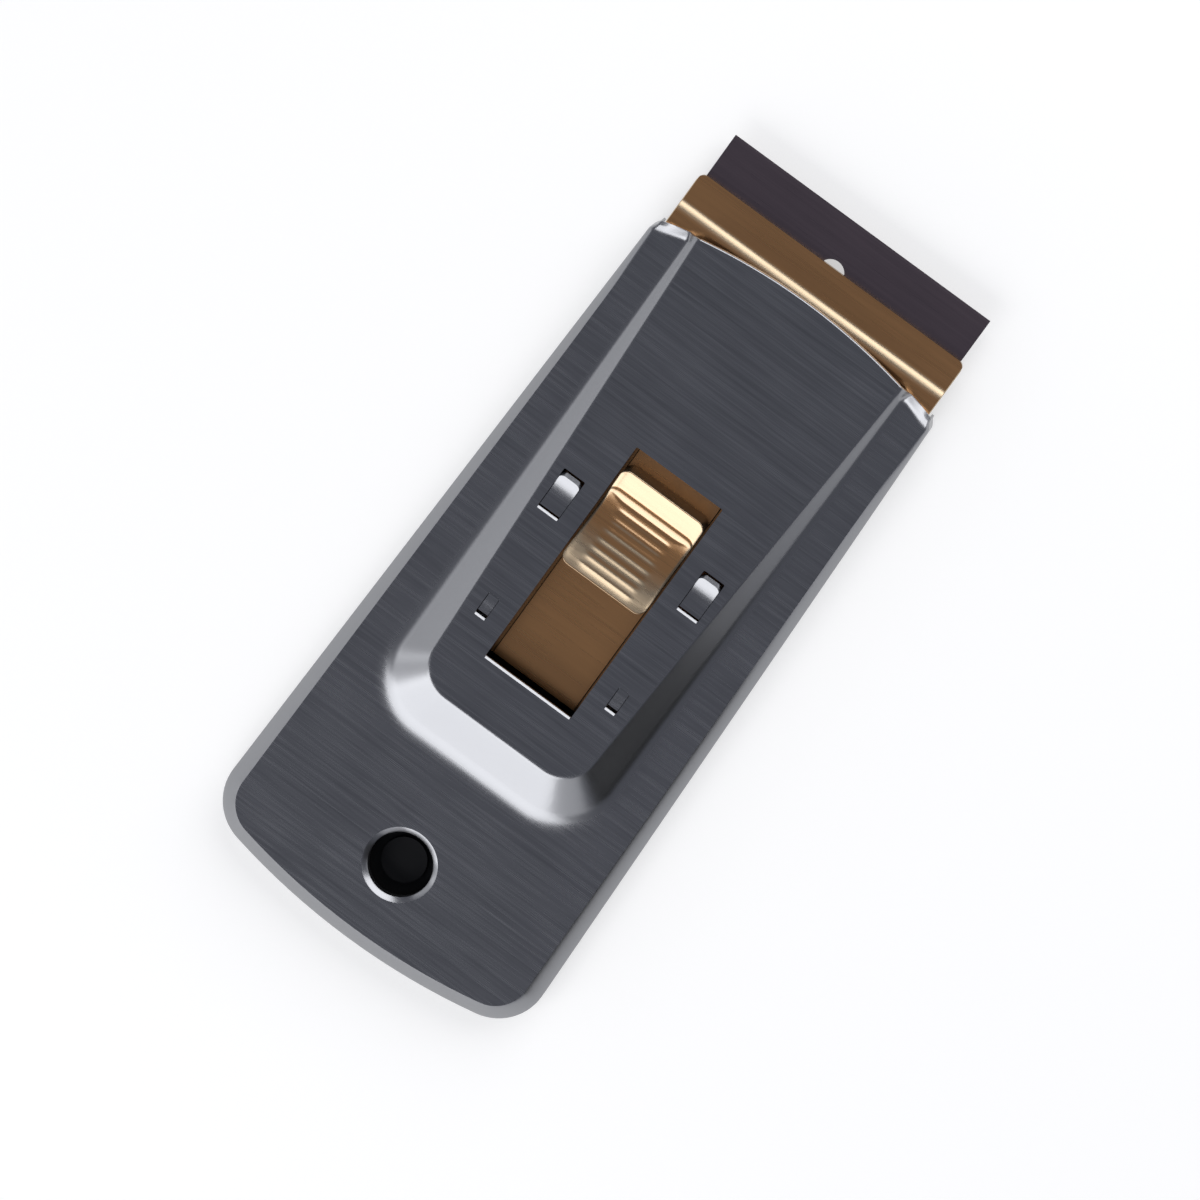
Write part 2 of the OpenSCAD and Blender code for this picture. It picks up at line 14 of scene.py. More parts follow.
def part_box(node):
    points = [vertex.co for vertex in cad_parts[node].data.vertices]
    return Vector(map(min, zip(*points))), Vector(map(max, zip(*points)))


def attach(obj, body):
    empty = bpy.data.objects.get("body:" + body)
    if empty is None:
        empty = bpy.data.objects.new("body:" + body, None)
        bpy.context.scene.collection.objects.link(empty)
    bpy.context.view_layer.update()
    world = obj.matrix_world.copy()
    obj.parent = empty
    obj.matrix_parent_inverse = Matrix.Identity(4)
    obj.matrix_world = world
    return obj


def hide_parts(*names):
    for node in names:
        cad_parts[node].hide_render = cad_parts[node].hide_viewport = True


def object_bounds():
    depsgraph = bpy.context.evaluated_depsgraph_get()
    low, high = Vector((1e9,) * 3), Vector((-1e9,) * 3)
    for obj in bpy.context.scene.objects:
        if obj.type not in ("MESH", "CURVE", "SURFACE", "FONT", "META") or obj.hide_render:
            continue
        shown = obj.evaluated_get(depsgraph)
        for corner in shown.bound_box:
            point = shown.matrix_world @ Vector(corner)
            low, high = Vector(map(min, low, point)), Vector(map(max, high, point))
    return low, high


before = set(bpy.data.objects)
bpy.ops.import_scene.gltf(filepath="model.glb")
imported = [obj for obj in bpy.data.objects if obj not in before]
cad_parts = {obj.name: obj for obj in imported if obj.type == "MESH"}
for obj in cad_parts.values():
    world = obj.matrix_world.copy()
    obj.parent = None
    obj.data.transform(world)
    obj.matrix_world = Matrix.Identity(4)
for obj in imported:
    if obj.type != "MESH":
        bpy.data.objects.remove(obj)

bl_info = {
    "name": "Razor blade scraper",
    "version": (1, 0, 0),
    "blender": (4, 5, 0),
    "location": "View3D > Sidebar > Scraper",
    "description": "Models the pieces of a retractable razor blade scraper over its packed frame",
    "category": "Object",
}

MM = 0.001
UP = Vector((0, 0, 1))
CAD_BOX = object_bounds()

# Places nearer than this are one
TOUCH = 0.001 * MM
# Faces that meet at less than this are level
LEVEL_ANGLE = math.radians(0.5)
# Edges sharper than these are rounded off, on copied pieces and on the top shell
SHARP_ANGLE, CUT_ANGLE = math.radians(40), math.radians(50)
# Edges blunter than these are shaded smooth, on most pieces and on the blade
SMOOTH_ANGLE, CRISP_ANGLE = math.radians(35), math.radians(3)

# Places that the frame gives
SHELL_LOW, SHELL_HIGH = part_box("top_shell")
GRIP_LOW, GRIP_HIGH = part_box("thumb_grip")
CARRIER_LOW, CARRIER_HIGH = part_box("blade_carrier")
BLADE_LOW, BLADE_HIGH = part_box("blade")
MOUTH_Y = SHELL_HIGH.y
TAIL_Y = SHELL_LOW.y


def length(label, millimetres):
    """A length that a user can set."""
    return FloatProperty(name=label, default=millimetres * MM, min=0.0, precision=5,
                         subtype="DISTANCE", unit="LENGTH")


def angle(label, degrees):
    """An angle that a user can set."""
    return FloatProperty(name=label, default=math.radians(degrees), subtype="ANGLE", unit="ROTATION")


def number(label, value):
    """A plain number that a user can set."""
    return FloatProperty(name=label, default=value, min=0.0)


def whole_number(label, value):
    """A whole number that a user can set."""
    return IntProperty(name=label, default=value, min=1)


def colour(label, value):
    """A colour that a user can set."""
    return FloatVectorProperty(name=label, default=value, size=3, min=0.0, max=1.0, subtype="COLOR")


class CasingSizes(bpy.types.PropertyGroup):
    """Sizes of the pressed casing."""

    sheet: length("Thickness of the sheet", 0.8)
    flange: length("Height of the flanges above the rest plane", 5.15)
    mouth_width: length("Width of the casing at the middle of its mouth", 41.6)
    flare: length("How much wider each side is at the tail", 3.1)
    mouth_arc: length("Radius of the mouth's front arc", 77)
    tail_arc: length("Radius of the tail's arc", 88)
    tail_corner: length("Radius of the tail's corners", 6.75)
    rim_mouth: length("Radius of the rolled rim at the mouth", 0.85)
    rim_tail: length("Radius of the rolled rim at the tail", 2.1)
    rim_fall: number("Depth of the rolled rim for its width", 1.2)
    lip: length("Length of the lips bent down at the mouth's corners", 1.6)
    lip_turn: angle("Angle by which the lips are bent down", 40)
    lip_taper: length("Length over which a lip fades out at each end", 1.3)
    turn_in: length("How far the rim is turned in at the mouth's corners", 0.6)
    front_round: length("Rounding of the sheet's edge along the mouth", 0.28)
    cut_round: length("Rounding of the other cut edges", 0.07)
    platform_rise: length("Height of the platform over the flanges at the mouth", 0.9)
    platform_length: length("Length of the platform's top", 65.45)
    platform_angle: angle("Slope of the platform's top", 2.63)
    side_slope: angle("Slope of the platform's sides", 41)
    tail_slope: angle("Slope of the platform's tail", 32)
    foot_width: length("Width of the platform at its foot", 32.5)
    crease_corner: length("Radius of the top's tail corners", 4.6)
    foot_corner: length("Radius of the foot's tail corners", 7.8)
    crease_soft: length("Reach of the rounding along the top's crease", 0.34)
    foot_soft_head: length("Reach of the rounding along the foot at the mouth", 0.45)
    foot_soft_tail: length("Reach of the rounding along the foot at its tail", 1.7)
    window_width: length("Width of the thumb window", 12.9)
    window_head: length("Distance of the window's head end behind the mouth", 26.45)
    window_length: length("Length of the thumb window", 31.7)
    window_corner: length("Radius of the corners of the window and the slots", 0.2)
    opening_round: length("Length of the rolled edges behind the window and the lances", 0.3)
    opening_fall: length("Depth of the rolled edges behind the window and the lances", 0.21)
    hole_width: length("Diameter of the hang hole", 8.2)
    hole_set: length("Distance of the hang hole's centre from the tail", 12)
    hole_round: length("Width of the hole's drawn-in edge", 0.68)
    hole_fall: length("Depth of the hole's drawn-in edge", 0.52)
    hole_collar: length("Depth of the hole's collar below the flanges", 1.9)
    crimp_count: whole_number("Number of crimps along each side", 3)
    crimp_set: length("Distance of the first crimp behind the mouth", 46)
    crimp_pitch: length("Distance between crimps", 18)
    crimp_height: length("Height of the crimps", 1.7)
    crimp_depth: length("Depth of a crimp", 0.25)
    crimp_ball: length("Radius of the punch that makes a crimp", 0.7)
    back_round: length("Rounding of the back shell's edges", 0.22)
    spring_round: length("Rounding of the friction spring's edges", 0.03)


class LanceSizes(bpy.types.PropertyGroup):
    """Sizes of the four lances in the platform."""

    upper_x: length("Distance of the upper lances from the middle", 10.5)
    upper_set: length("Distance of the upper lances' head ends behind the mouth", 33.75)
    upper_length: length("Length of an upper lance's slot", 5.6)
    upper_width: length("Width of an upper lance", 3.1)
    upper_tilt: angle("Tilt of an upper lance", 20)
    lower_x: length("Distance of the lower lances from the middle", 9.8)
    lower_set: length("Distance of the lower lances' head ends behind the mouth", 51.5)
    lower_length: length("Length of a lower lance's slot", 3)
    lower_width: length("Width of a lower lance", 1.6)
    lower_sink: length("Depth of a lower lance's tail end", 0.3)
    lower_slit: length("Gap behind a lower lance", 0.5)
    upper_sink: length("Depth of an upper lance's tail end", 0.3)
    slit: length("Slit at an upper lance's ends", 0.25)
    nose_corner: length("Radius of the corners of an upper lance's nose", 0.8)


class SlideSizes(bpy.types.PropertyGroup):
    """Sizes of the gold slide and its blade."""

    carrier_sheet: length("Thickness of the carrier's sheet", 0.7)
    jaw_flat: length("Length of the flat jaw", 4.2)
    jaw_step: length("Length of the step behind the jaw", 1.1)
    jaw_corner: length("Radius of the jaw's front corners", 1)
    carrier_front: length("Length of the carrier's wide front", 22.75)
    tongue_width: length("Width of the carrier's tongue", 24)
    bend: length("Rounding of the bends in the slide's sheets", 0.6)
    edge_round: length("Rounding of the slide's cut edges", 0.1)
    grip_set: length("Distance of the grip's head end behind the mouth", 28.85)
    grip_length: length("Length of the ribbed grip", 14.3)
    grip_plate: length("Thickness of the grip's plate", 0.6)
    grip_corner: length("Radius of the grip's corners, seen from above", 1.25)
    grip_side: length("Rounding of the grip's upper sides", 0.5)
    head_crest_height: length("Height of the head crest above the casing", 1.5)
    tail_crest_height: length("Height of the tail crest above the casing", 0.9)
    head_slope: angle("Slope of the head crest towards the saddle", 24)
    tail_slope: angle("Slope of the tail crest towards the saddle", 22)
    head_face: length("Length of the head crest's sloping face", 2.6)
    tail_face: length("Length of the tail crest's sloping face", 1.0)
    head_lean: length("How far the head wall leans back", 0.2)
    tail_lean: length("How far the tail wall leans forward", 0.2)
    crest_edge: length("Reach of the rounding along both crests", 0.2)
    rib_head: length("Height of the ribs beside the head crest", 0.12)
    rib_tail: length("Height of the ribs beside the tail crest", 0.05)
    rib_width: length("Width of the ribs in the thumb dish", 7.4)
    rib_spread: length("How much wider the ribs are beside the head crest", 6)
    rib_fade: length("Length over which a rib's ends fade out", 1.2)
    rib_count: whole_number("Number of ribs across the dish", 8)
    clamp_round: length("Rounding of the clamp plate's edges", 0.08)
    rivet_round: length("Rounding of the rivets' edges", 0.12)
    spine_round: length("Rounding of the blade spine's edges", 0.1)
    grind: length("Width of the blade's ground bevel", 1.3)
    hone: length("Width of the honed edge", 0.3)
    edge: length("Thickness left along the sharp edge", 0.04)
    blade_hole: length("Diameter of the blade's hole", 3.4)
    blade_hole_set: length("Distance of the hole's centre behind the edge", 6.8)


class Finishes(bpy.types.PropertyGroup):
    """Colours of the finishes."""

    steel: colour("Brushed casing steel", (0.28, 0.284, 0.298))
    spring: colour("Plain spring steel", (0.35, 0.36, 0.38))
    gold: colour("Gold-coloured plating", (0.63, 0.335, 0.147))
    # Painted highlight: a paler gold that sloping faces get, so that their highlights come out cream
    painted_highlight_gold: colour("Plating that is rubbed pale on bends and crests", (0.46, 0.36, 0.245))
    blade: colour("Dark ground steel", (0.192, 0.152, 0.17))
    floor: colour("Pale floor", (0.52, 0.52, 0.52))


class StageSettings(bpy.types.PropertyGroup):
    """The camera and the lights."""

    view_tilt: angle("How far the camera leans from overhead towards the blade", 12.1)
    view_side: angle("How far the camera leans to the right", 1.4)
    view_turn: angle("Angle of the tool's axis in the picture", 54)
    view_distance: length("Distance of the camera", 1000)
    view_width: length("Width of the picture at the object", 146.2)
    view_rise: length("How far the picture's middle is below the object's middle", 1.3)
    sky: colour("Colour of the plain dim sky", (0.184, 0.191, 0.223))
    floor_size: length("Width of the floor", 4000)
    floor_lift: number("Brightness that makes the floor look white", 0.53)


# Selecting and editing

def deselect():
    """Leaves nothing selected."""
    bpy.ops.object.select_all(action="DESELECT")


def activate(obj):
    """Selects one object alone."""
    deselect()
    obj.select_set(True)
    bpy.context.view_layer.objects.active = obj


def start_edit(obj):
    """Enters edit mode with nothing selected, and returns the editable mesh."""
    activate(obj)
    bpy.ops.object.mode_set(mode="EDIT")
    bpy.ops.mesh.select_mode(type="VERT")
    bpy.ops.mesh.select_all(action="DESELECT")
    return bmesh.from_edit_mesh(obj.data)


def edit_all(obj):
    """Enters edit mode with everything selected."""
    start_edit(obj)
    bpy.ops.mesh.select_all(action="SELECT")


def end_edit():
    """Leaves edit mode."""
    bpy.ops.object.mode_set(mode="OBJECT")


def pick_faces(obj, mesh, test):
    """Selects the faces that a test accepts."""
    bpy.ops.mesh.select_mode(type="FACE")
    for face in mesh.faces:
        face.select_set(test(face))
    bmesh.update_edit_mesh(obj.data)


def modify(obj, kind, **settings):
    """Adds a modifier, sets it and applies it."""
    activate(obj)
    modifier = obj.modifiers.new(kind, kind)
    for key, value in settings.items():
        setattr(modifier, key, value)
    bpy.ops.object.modifier_apply(modifier=modifier.name)


def cut(obj, *cutters, operation="DIFFERENCE"):
    """Cuts or adds other solids, which are used up."""
    for cutter in cutters:
        modify(obj, "BOOLEAN", object=cutter, operation=operation, solver="MANIFOLD")
        bpy.data.objects.remove(cutter)


def join(obj, *others):
    """Joins other meshes into an object."""
    activate(obj)
    for other in others:
        other.select_set(True)
    bpy.ops.object.join()


def close_up(obj, reach=TOUCH):
    """Merges doubles and turns the faces outwards."""
    edit_all(obj)
    bpy.ops.mesh.remove_doubles(threshold=reach)
    bpy.ops.mesh.normals_make_consistent(inside=False)
    end_edit()


def split(obj, place, direction):
    """Splits the faces that a plane crosses."""
    edit_all(obj)
    bpy.ops.mesh.bisect(plane_co=place, plane_no=direction)
    end_edit()


def settled(name):
    """The shape added last, named, with its place and size applied to its mesh."""
    bpy.ops.object.transform_apply(location=True, rotation=True, scale=True)
    bpy.context.object.name = name
    return bpy.context.object


def add_block(name, low, high):
    """A plain block between two corners, as a start or a cutter."""
    deselect()
    middle = (Vector(low) + Vector(high)) / 2
    bpy.ops.mesh.primitive_cube_add(size=1, location=middle, scale=Vector(high) - Vector(low))
    return settled(name)


def add_cylinder(name, radius, low, high, sides):
    """A plain upright cylinder between two points, as a start or a cutter."""
    deselect()
    low, high = Vector(low), Vector(high)
    bpy.ops.mesh.primitive_cylinder_add(vertices=sides, radius=radius, depth=high.z - low.z,
                                        location=(low + high) / 2)
    return settled(name)


def loft(name, rings, front=None, start=True, end=True):
    """Draws the first ring as one face, then extrudes its rim through the other rings.

    Where front is given, the rings are open, and front's points close only the first face.
    """
    outline = list(rings[0]) + list(front or [])
    count = len(rings[0])
    deselect()
    bpy.ops.mesh.primitive_circle_add(vertices=len(outline), fill_type="NGON")
    obj = bpy.context.object
    obj.name = name
    obj.data.name = name
    bpy.ops.object.mode_set(mode="EDIT")
    bpy.ops.mesh.select_mode(type="EDGE")
    mesh = bmesh.from_edit_mesh(obj.data)
    station = mesh.verts.layers.int.new("station")
    mesh.verts.ensure_lookup_table()
    for i, point in enumerate(outline):
        mesh.verts[i].co = point
        mesh.verts[i][station] = i
    for edge in mesh.edges:
        first, second = sorted(vert[station] for vert in edge.verts)
        edge.select_set(front is None or (second < count and second - first == 1))
    mesh.select_flush_mode()
    bmesh.update_edit_mesh(obj.data)
    for ring in rings[1:]:
        bpy.ops.mesh.extrude_edges_indiv()
        mesh = bmesh.from_edit_mesh(obj.data)
        station = mesh.verts.layers.int["station"]
        for vert in mesh.verts:
            if vert.select:
                vert.co = ring[vert[station]]
        bmesh.update_edit_mesh(obj.data)
    if end and front is None:
        bpy.ops.mesh.edge_face_add()
    if not start:
        mesh = bmesh.from_edit_mesh(obj.data)
        pick_faces(obj, mesh, lambda face: len(face.verts) > 4)
        bpy.ops.mesh.delete(type="ONLY_FACE")
    end_edit()
    obj.data.attributes.remove(obj.data.attributes["station"])
    close_up(obj)
    return obj


def dress(obj, body, slot_name, material, *nodes, smooth=SMOOTH_ANGLE):
    """Smooths a finished piece, paints it and hands it to the frame."""
    activate(obj)
    bpy.ops.object.shade_smooth_by_angle(angle=smooth)
    modify(obj, "WEIGHTED_NORMAL", keep_sharp=True, weight=100)
    obj.data.materials.clear()
    obj.data.materials.append(material)
    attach(obj, body)
    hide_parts(*nodes)


def soften(node, name, width, body, slot_name, material):
    """Hands in a copy of a CAD node with its sharp edges rounded off."""
    obj = bpy.data.objects.new(name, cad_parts[node].data.copy())
    bpy.context.scene.collection.objects.link(obj)
    close_up(obj)
    edit_all(obj)
    bpy.ops.mesh.dissolve_limited(angle_limit=LEVEL_ANGLE)
    end_edit()
    modify(obj, "BEVEL", width=width, segments=2, limit_method="ANGLE", angle_limit=SHARP_ANGLE)
    close_up(obj)
    dress(obj, body, slot_name, material, node)


# Curves and blends

def blend(low, high, value):
    """A smooth step from 0 to 1 between two values."""
    share = min(max((value - low) / (high - low), 0), 1)
    return share * share * (3 - 2 * share)


def mix(a, b, share):
    """A point on the way from one to another."""
    return a + (b - a) * share


def round_corner(a, corner, b, steps):
    """Points round a corner, from one tangent point to another."""
    shares = [i / steps for i in range(steps + 1)]
    return [mix(mix(a, corner, s), mix(corner, b, s), s) for s in shares]


def turned(direction_angle):
    """A unit step in the plane at an angle."""
    return Vector((math.cos(direction_angle), math.sin(direction_angle)))


def rounded_path(path, reach, steps=5):
    """A path with its bends rounded, each over less than half of the straights beside it."""
    most = 0.45
    points = [path[0]]
    for before, corner, after in zip(path, path[1:], path[2:]):
        size = min(reach, (corner - before).length * most, (after - corner).length * most)
        a = corner + (before - corner).normalized() * size
        b = corner + (after - corner).normalized() * size
        points += round_corner(a, corner, b, steps)
    return points + [path[-1]]


def path_normals(path):
    """The left hand normal at each point of a path, mitred."""
    steps = [(b - a).normalized() for a, b in zip(path, path[1:])]
    ahead = steps + [steps[-1]]
    behind = [steps[0]] + steps
    normals = []
    for one, two in zip(behind, ahead):
        left = Vector((-one.y - two.y, one.x + two.x))
        normals.append(left / (1 + one.dot(two)))
    return normals


def sheet_section(path, thickness, inset=0.0):
    """The closed section of a sheet that lies to the left of a path, drawn in by an inset."""
    normals = path_normals(path)
    low = [p + n * inset for p, n in zip(path, normals)]
    high = [p + n * (thickness - inset) for p, n in zip(path, normals)]
    for side in (low, high):
        side[0] = side[0] + (path[1] - path[0]).normalized() * inset
        side[-1] = side[-1] + (path[-2] - path[-1]).normalized() * inset
    return low + high[::-1]


def rolled(turn, flatness=1.0):
    """A place on a pressed edge, as shares of its two reaches.

    The edge is a quarter circle where the flatness is 0 and nearly a flat bevel where it is 1.
    """
    bevel_power = 1.85
    power = mix(1, bevel_power, flatness)
    return max(math.cos(turn), 0) ** power, max(math.sin(turn), 0) ** power


def rounding(radius, distance):
    """How far a rounded corner falls short at a distance from its side."""
    left = max(radius - distance, 0)
    return radius - math.sqrt(radius ** 2 - left ** 2)


def bent_sheet(name, path_of, thickness, half_width, edge, corner=0.0):
    """A bent sheet across the tool, on a path of lengthwise places and heights.

    The path is asked for by how much its end falls short, so that the end's corners can be rounded.
    """
    steps = 8
    sides = [(0, edge), (edge, 0)]
    if corner:
        sides += [(mix(edge, corner, (i / steps) ** 2), 0) for i in range(1, steps + 1)]
    across = [(-half_width + e, e, inset) for e, inset in sides]
    across += [(half_width - e, e, inset) for e, inset in reversed(sides)]
    rings = []
    for x, distance, inset in across:
        path = path_of(rounding(corner, distance))
        rings.append([Vector((x, p.x, p.y)) for p in sheet_section(path, thickness, inset)])
    return loft(name, rings)


# The pressed top shell

SIDE_STEPS = 22
LIP_STEPS = 8
CORNER_STEPS = 14
TAIL_STEPS = 8
FLANGE_STEPS = 8
ROLL_STEPS = 10
OPENING_STEPS = 6
HOLE_SIDES = 96


def platform_height(casing, y):
    """Height of the platform's top over a place along the tool."""
    return casing.flange + casing.platform_rise + (MOUTH_Y - y) * math.tan(casing.platform_angle)


def front_y(casing, x):
    """The mouth's front arc."""
    return MOUTH_Y - casing.mouth_arc + math.sqrt(casing.mouth_arc ** 2 - x ** 2)


def half_line(casing, side_x, corner, radius, first_angle, last_angle, tail_point):
    """Places and outward directions along the right half of an outline, from mouth to tail."""
    y = MOUTH_Y
    passes = 3
    for _ in range(passes):
        y = front_y(casing, side_x(y))
    front = Vector((side_x(y), y))
    end = corner + radius * turned(first_angle)
    run = (end - front).length
    way = (end - front) / run
    places = [casing.lip * i / LIP_STEPS for i in range(LIP_STEPS)]
    places += [mix(casing.lip, run, i / SIDE_STEPS) for i in range(SIDE_STEPS)]
    line = [(front + way * place, turned(first_angle)) for place in places]
    for i in range(CORNER_STEPS):
        outward = turned(mix(first_angle, last_angle, i / CORNER_STEPS))
        line.append((corner + radius * outward, outward))
    line += [tail_point(i / TAIL_STEPS) for i in range(TAIL_STEPS + 1)]
    return line


def casing_line(casing):
    """The casing's outline: flared sides, round corners and a bowed tail."""
    lean = casing.flare / (MOUTH_Y - TAIL_Y)
    stretch = math.hypot(1, lean)
    centre_y = TAIL_Y + casing.tail_arc
    radius = casing.tail_corner
    line = casing.mouth_width / 2 + lean * MOUTH_Y - radius * stretch
    half = line * lean + centre_y
    rest = line ** 2 + centre_y ** 2 - (casing.tail_arc - radius) ** 2
    y = (half - math.sqrt(half ** 2 - stretch ** 2 * rest)) / stretch ** 2
    corner = Vector((line - lean * y, y))
    last = math.atan2(corner.y - centre_y, corner.x)

    def side_x(place):
        return casing.mouth_width / 2 + lean * (MOUTH_Y - place)

    def tail_point(share):
        outward = turned(mix(last, -math.pi / 2, share))
        return Vector((0, centre_y)) + casing.tail_arc * outward, outward

    return half_line(casing, side_x, corner, radius, math.atan(lean), last, tail_point)


def straight_tail(corner, tail_y):
    """The straight tail of a half outline, from a corner's centre to the middle."""
    outward = turned(-math.pi / 2)
    return lambda share: (Vector((corner.x * (1 - share), tail_y)), outward)


def crease_line(casing):
    """The edge of the platform's top."""
    lean = math.tan(casing.platform_angle) / math.tan(casing.side_slope)
    radius = casing.crease_corner
    tail_y = MOUTH_Y - casing.platform_length

    def side_x(place):
        rise = platform_height(casing, place) - casing.flange
        return casing.foot_width / 2 - rise / math.tan(casing.side_slope)

    corner = Vector((side_x(tail_y + radius) - radius * math.hypot(1, lean), tail_y + radius))
    return half_line(casing, side_x, corner, radius, -math.atan(lean), -math.pi / 2,
                     straight_tail(corner, tail_y))


def foot_line(casing):
    """The foot of the platform's slopes."""
    crease_y = MOUTH_Y - casing.platform_length
    rise = platform_height(casing, crease_y) - casing.flange
    tail_y = crease_y - rise / math.tan(casing.tail_slope)
    radius = casing.foot_corner
    corner = Vector((casing.foot_width / 2 - radius, tail_y + radius))

    def side_x(place):
        return casing.foot_width / 2

    return half_line(casing, side_x, corner, radius, 0, -math.pi / 2, straight_tail(corner, tail_y))


def rim_radius(casing, y):
    """The rolled rim's radius at a place along the tool."""
    return mix(casing.rim_mouth, casing.rim_tail, (MOUTH_Y - y) / (MOUTH_Y - TAIL_Y))


def shell_section(casing, crease, foot, rim):
    """Points of the shell's skin from the platform's top out to the skirt's edge.

    Each point comes with the direction and the distance in which the mouth's lip draws it in.
    """
    (crease_at, crease_out), (foot_at, foot_out), (rim_at, rim_out) = crease, foot, rim
    support = 0.3 * MM
    slope_shares = (0.3, 0.7)
    flat_from, flat_to = 2 * casing.lip, 10 * casing.lip
    flat = casing.flange
    top = crease_at.to_3d() + UP * platform_height(casing, crease_at.y)
    low = foot_at.to_3d() + UP * flat
    inward = -crease_out.to_3d()
    slope = (low - top).normalized()
    share = min((MOUTH_Y - foot_at.y) / casing.platform_length, 1)
    soft = mix(casing.foot_soft_head, casing.foot_soft_tail, share)
    inner = top + inward * casing.crease_soft
    inner.z = platform_height(casing, inner.y)
    crest = round_corner(inner, top, top + slope * casing.crease_soft, steps=5)
    bowl = round_corner(low - slope * soft, low, low + foot_out.to_3d() * soft, steps=8)
    level = inner + inward * support
    level.z = platform_height(casing, level.y)
    radius = rim_radius(casing, rim_at.y)
    edge = rim_at.to_3d() + UP * flat
    out = rim_out.to_3d()
    flange_end = edge - out * (radius + support)
    skin = [level] + crest + [mix(crest[-1], bowl[0], share) for share in slope_shares] + bowl
    skin += [mix(bowl[-1], flange_end, (i + 1) / FLANGE_STEPS) for i in range(FLANGE_STEPS)]
    flatness = blend(flat_from, flat_to, MOUTH_Y - rim_at.y)
    fall = radius * mix(1, casing.rim_fall, flatness)
    side_pull = casing.turn_in / lip_profile(casing)[0][1]
    taper = casing.lip_taper
    points = []
    for point in skin:
        inner = blend(foot_at.x - taper / 2, foot_at.x + taper / 2, point.x)
        outer = blend(flange_end.x - taper, flange_end.x, point.x)
        points.append((point, UP, inner * mix(1, side_pull, outer)))
    for i in range(ROLL_STEPS + 1):
        turn = math.pi / 2 * (1 - i / ROLL_STEPS)
        across, above = rolled(turn, flatness)
        point = edge - out * radius * (1 - across) - UP * fall * (1 - above)
        points.append((point, out * math.cos(turn) + UP * math.sin(turn), side_pull))
    points.append((edge - UP * (fall + support), out, side_pull))
    skirt = edge.copy()
    skirt.z = SHELL_LOW.z
    points.append((skirt, out, side_pull))
    return points


def lip_profile(casing):
    """Distances behind the mouth and drops along a lip, from its front edge to its bend."""
    bend_share = 0.45
    run = drop = 0
    spots = [(run, drop)]
    for i in range(LIP_STEPS):
        turn = casing.lip_turn * min((i + 0.5) / LIP_STEPS / bend_share, 1)
        run += math.cos(turn)
        drop += math.sin(turn)
        spots.append((run, drop))
    scale = casing.lip / run
    return [((run - spot) * scale, fall * scale) for spot, fall in reversed(spots)]


def bent_lip(casing, step, point, outward, pull):
    """Draws in a point near the mouth, so that the sheet is bent into a lip."""
    share = step / LIP_STEPS
    back, drop = lip_profile(casing)[step]
    level = casing.lip * (1 + share) / 2 if step else 0
    place = mix(level, back, pull)
    return point + Vector((0, casing.lip * share - place, 0)) - outward * drop * pull


def shell_rings(casing):
    """The rings of the shell's skin, from the platform's top to the skirt's edge."""
    lines = zip(crease_line(casing), foot_line(casing), casing_line(casing))
    sections = [shell_section(casing, *line) for line in lines]
    right = []
    for level in range(len(sections[0])):
        ring = []
        short = front_y(casing, sections[0][level][0].x) - sections[0][level][0].y
        for step, section in enumerate(sections):
            point, outward, pull = section[level]
            if step < LIP_STEPS:
                point = point + Vector((0, short * (1 - step / LIP_STEPS), 0))
                point = bent_lip(casing, step, point, outward, pull)
            ring.append(point)
        right.append(ring)
    return [ring + [Vector((-p.x, p.y, p.z)) for p in ring[-2::-1]] for ring in right]


def shell_skin(casing):
    """The outside of the top shell as one thin skin, and the points along its front edge."""
    rings = shell_rings(casing)
    half = rings[0][0].x
    front_steps = 32
    front = []
    for i in range(1, front_steps):
        x = mix(-half, half, i / front_steps)
        y = front_y(casing, x)
        front.append(Vector((x, y, platform_height(casing, y))))
    edge = front + [ring[i] for ring in rings for i in (0, -1)]
    return loft("pressed_top_shell", rings, front=front), edge


def round_front(casing, shell, edge):
    """Rounds the outer edge of the sheet along the mouth, less so on its lips."""
    digits = 2
    places = {tuple(round(c / MM, digits) for c in point) for point in edge}
    slight = 0.2
    mesh = start_edit(shell)
    weight = mesh.edges.layers.float.new("bevel_weight_edge")
    for side in mesh.edges:
        ends = [vert.co for vert in side.verts]
        if all(tuple(round(c / MM, digits) for c in end) in places for end in ends):
            height = (ends[0].z + ends[1].z) / 2 - casing.flange
            side[weight] = max(slight, blend(0, casing.platform_rise / 2, height))
    bmesh.update_edit_mesh(shell.data)
    end_edit()
    modify(shell, "BEVEL", width=casing.front_round, segments=4, limit_method="WEIGHT",
           use_clamp_overlap=False)
    shell.data.attributes.remove(shell.data.attributes["bevel_weight_edge"])


def flatten_flange(casing, shell):
    """Makes the level part of the flanges one face above and one below."""
    for height in (casing.flange, casing.flange - casing.sheet):
        mesh = start_edit(shell)
        pick_faces(shell, mesh, lambda face: all(abs(v.co.z - height) < TOUCH for v in face.verts))
        bpy.ops.mesh.dissolve_limited(angle_limit=LEVEL_ANGLE)
        end_edit()


def split_faces(lances, shell):
    """Splits the level faces through the middle of each opening, so that no face has a hole inside."""
    for x in (0, lances.upper_x, -lances.upper_x, lances.lower_x, -lances.lower_x):
        split(shell, (x, 0, 0), (1, 0, 0))


def lance_place(casing, distance):
    """The turn and place of a lance on the platform's top."""
    y = MOUTH_Y - distance
    place = Matrix.Translation((0, y, platform_height(casing, y)))
    return place @ Matrix.Rotation(-casing.platform_angle, 4, "X")


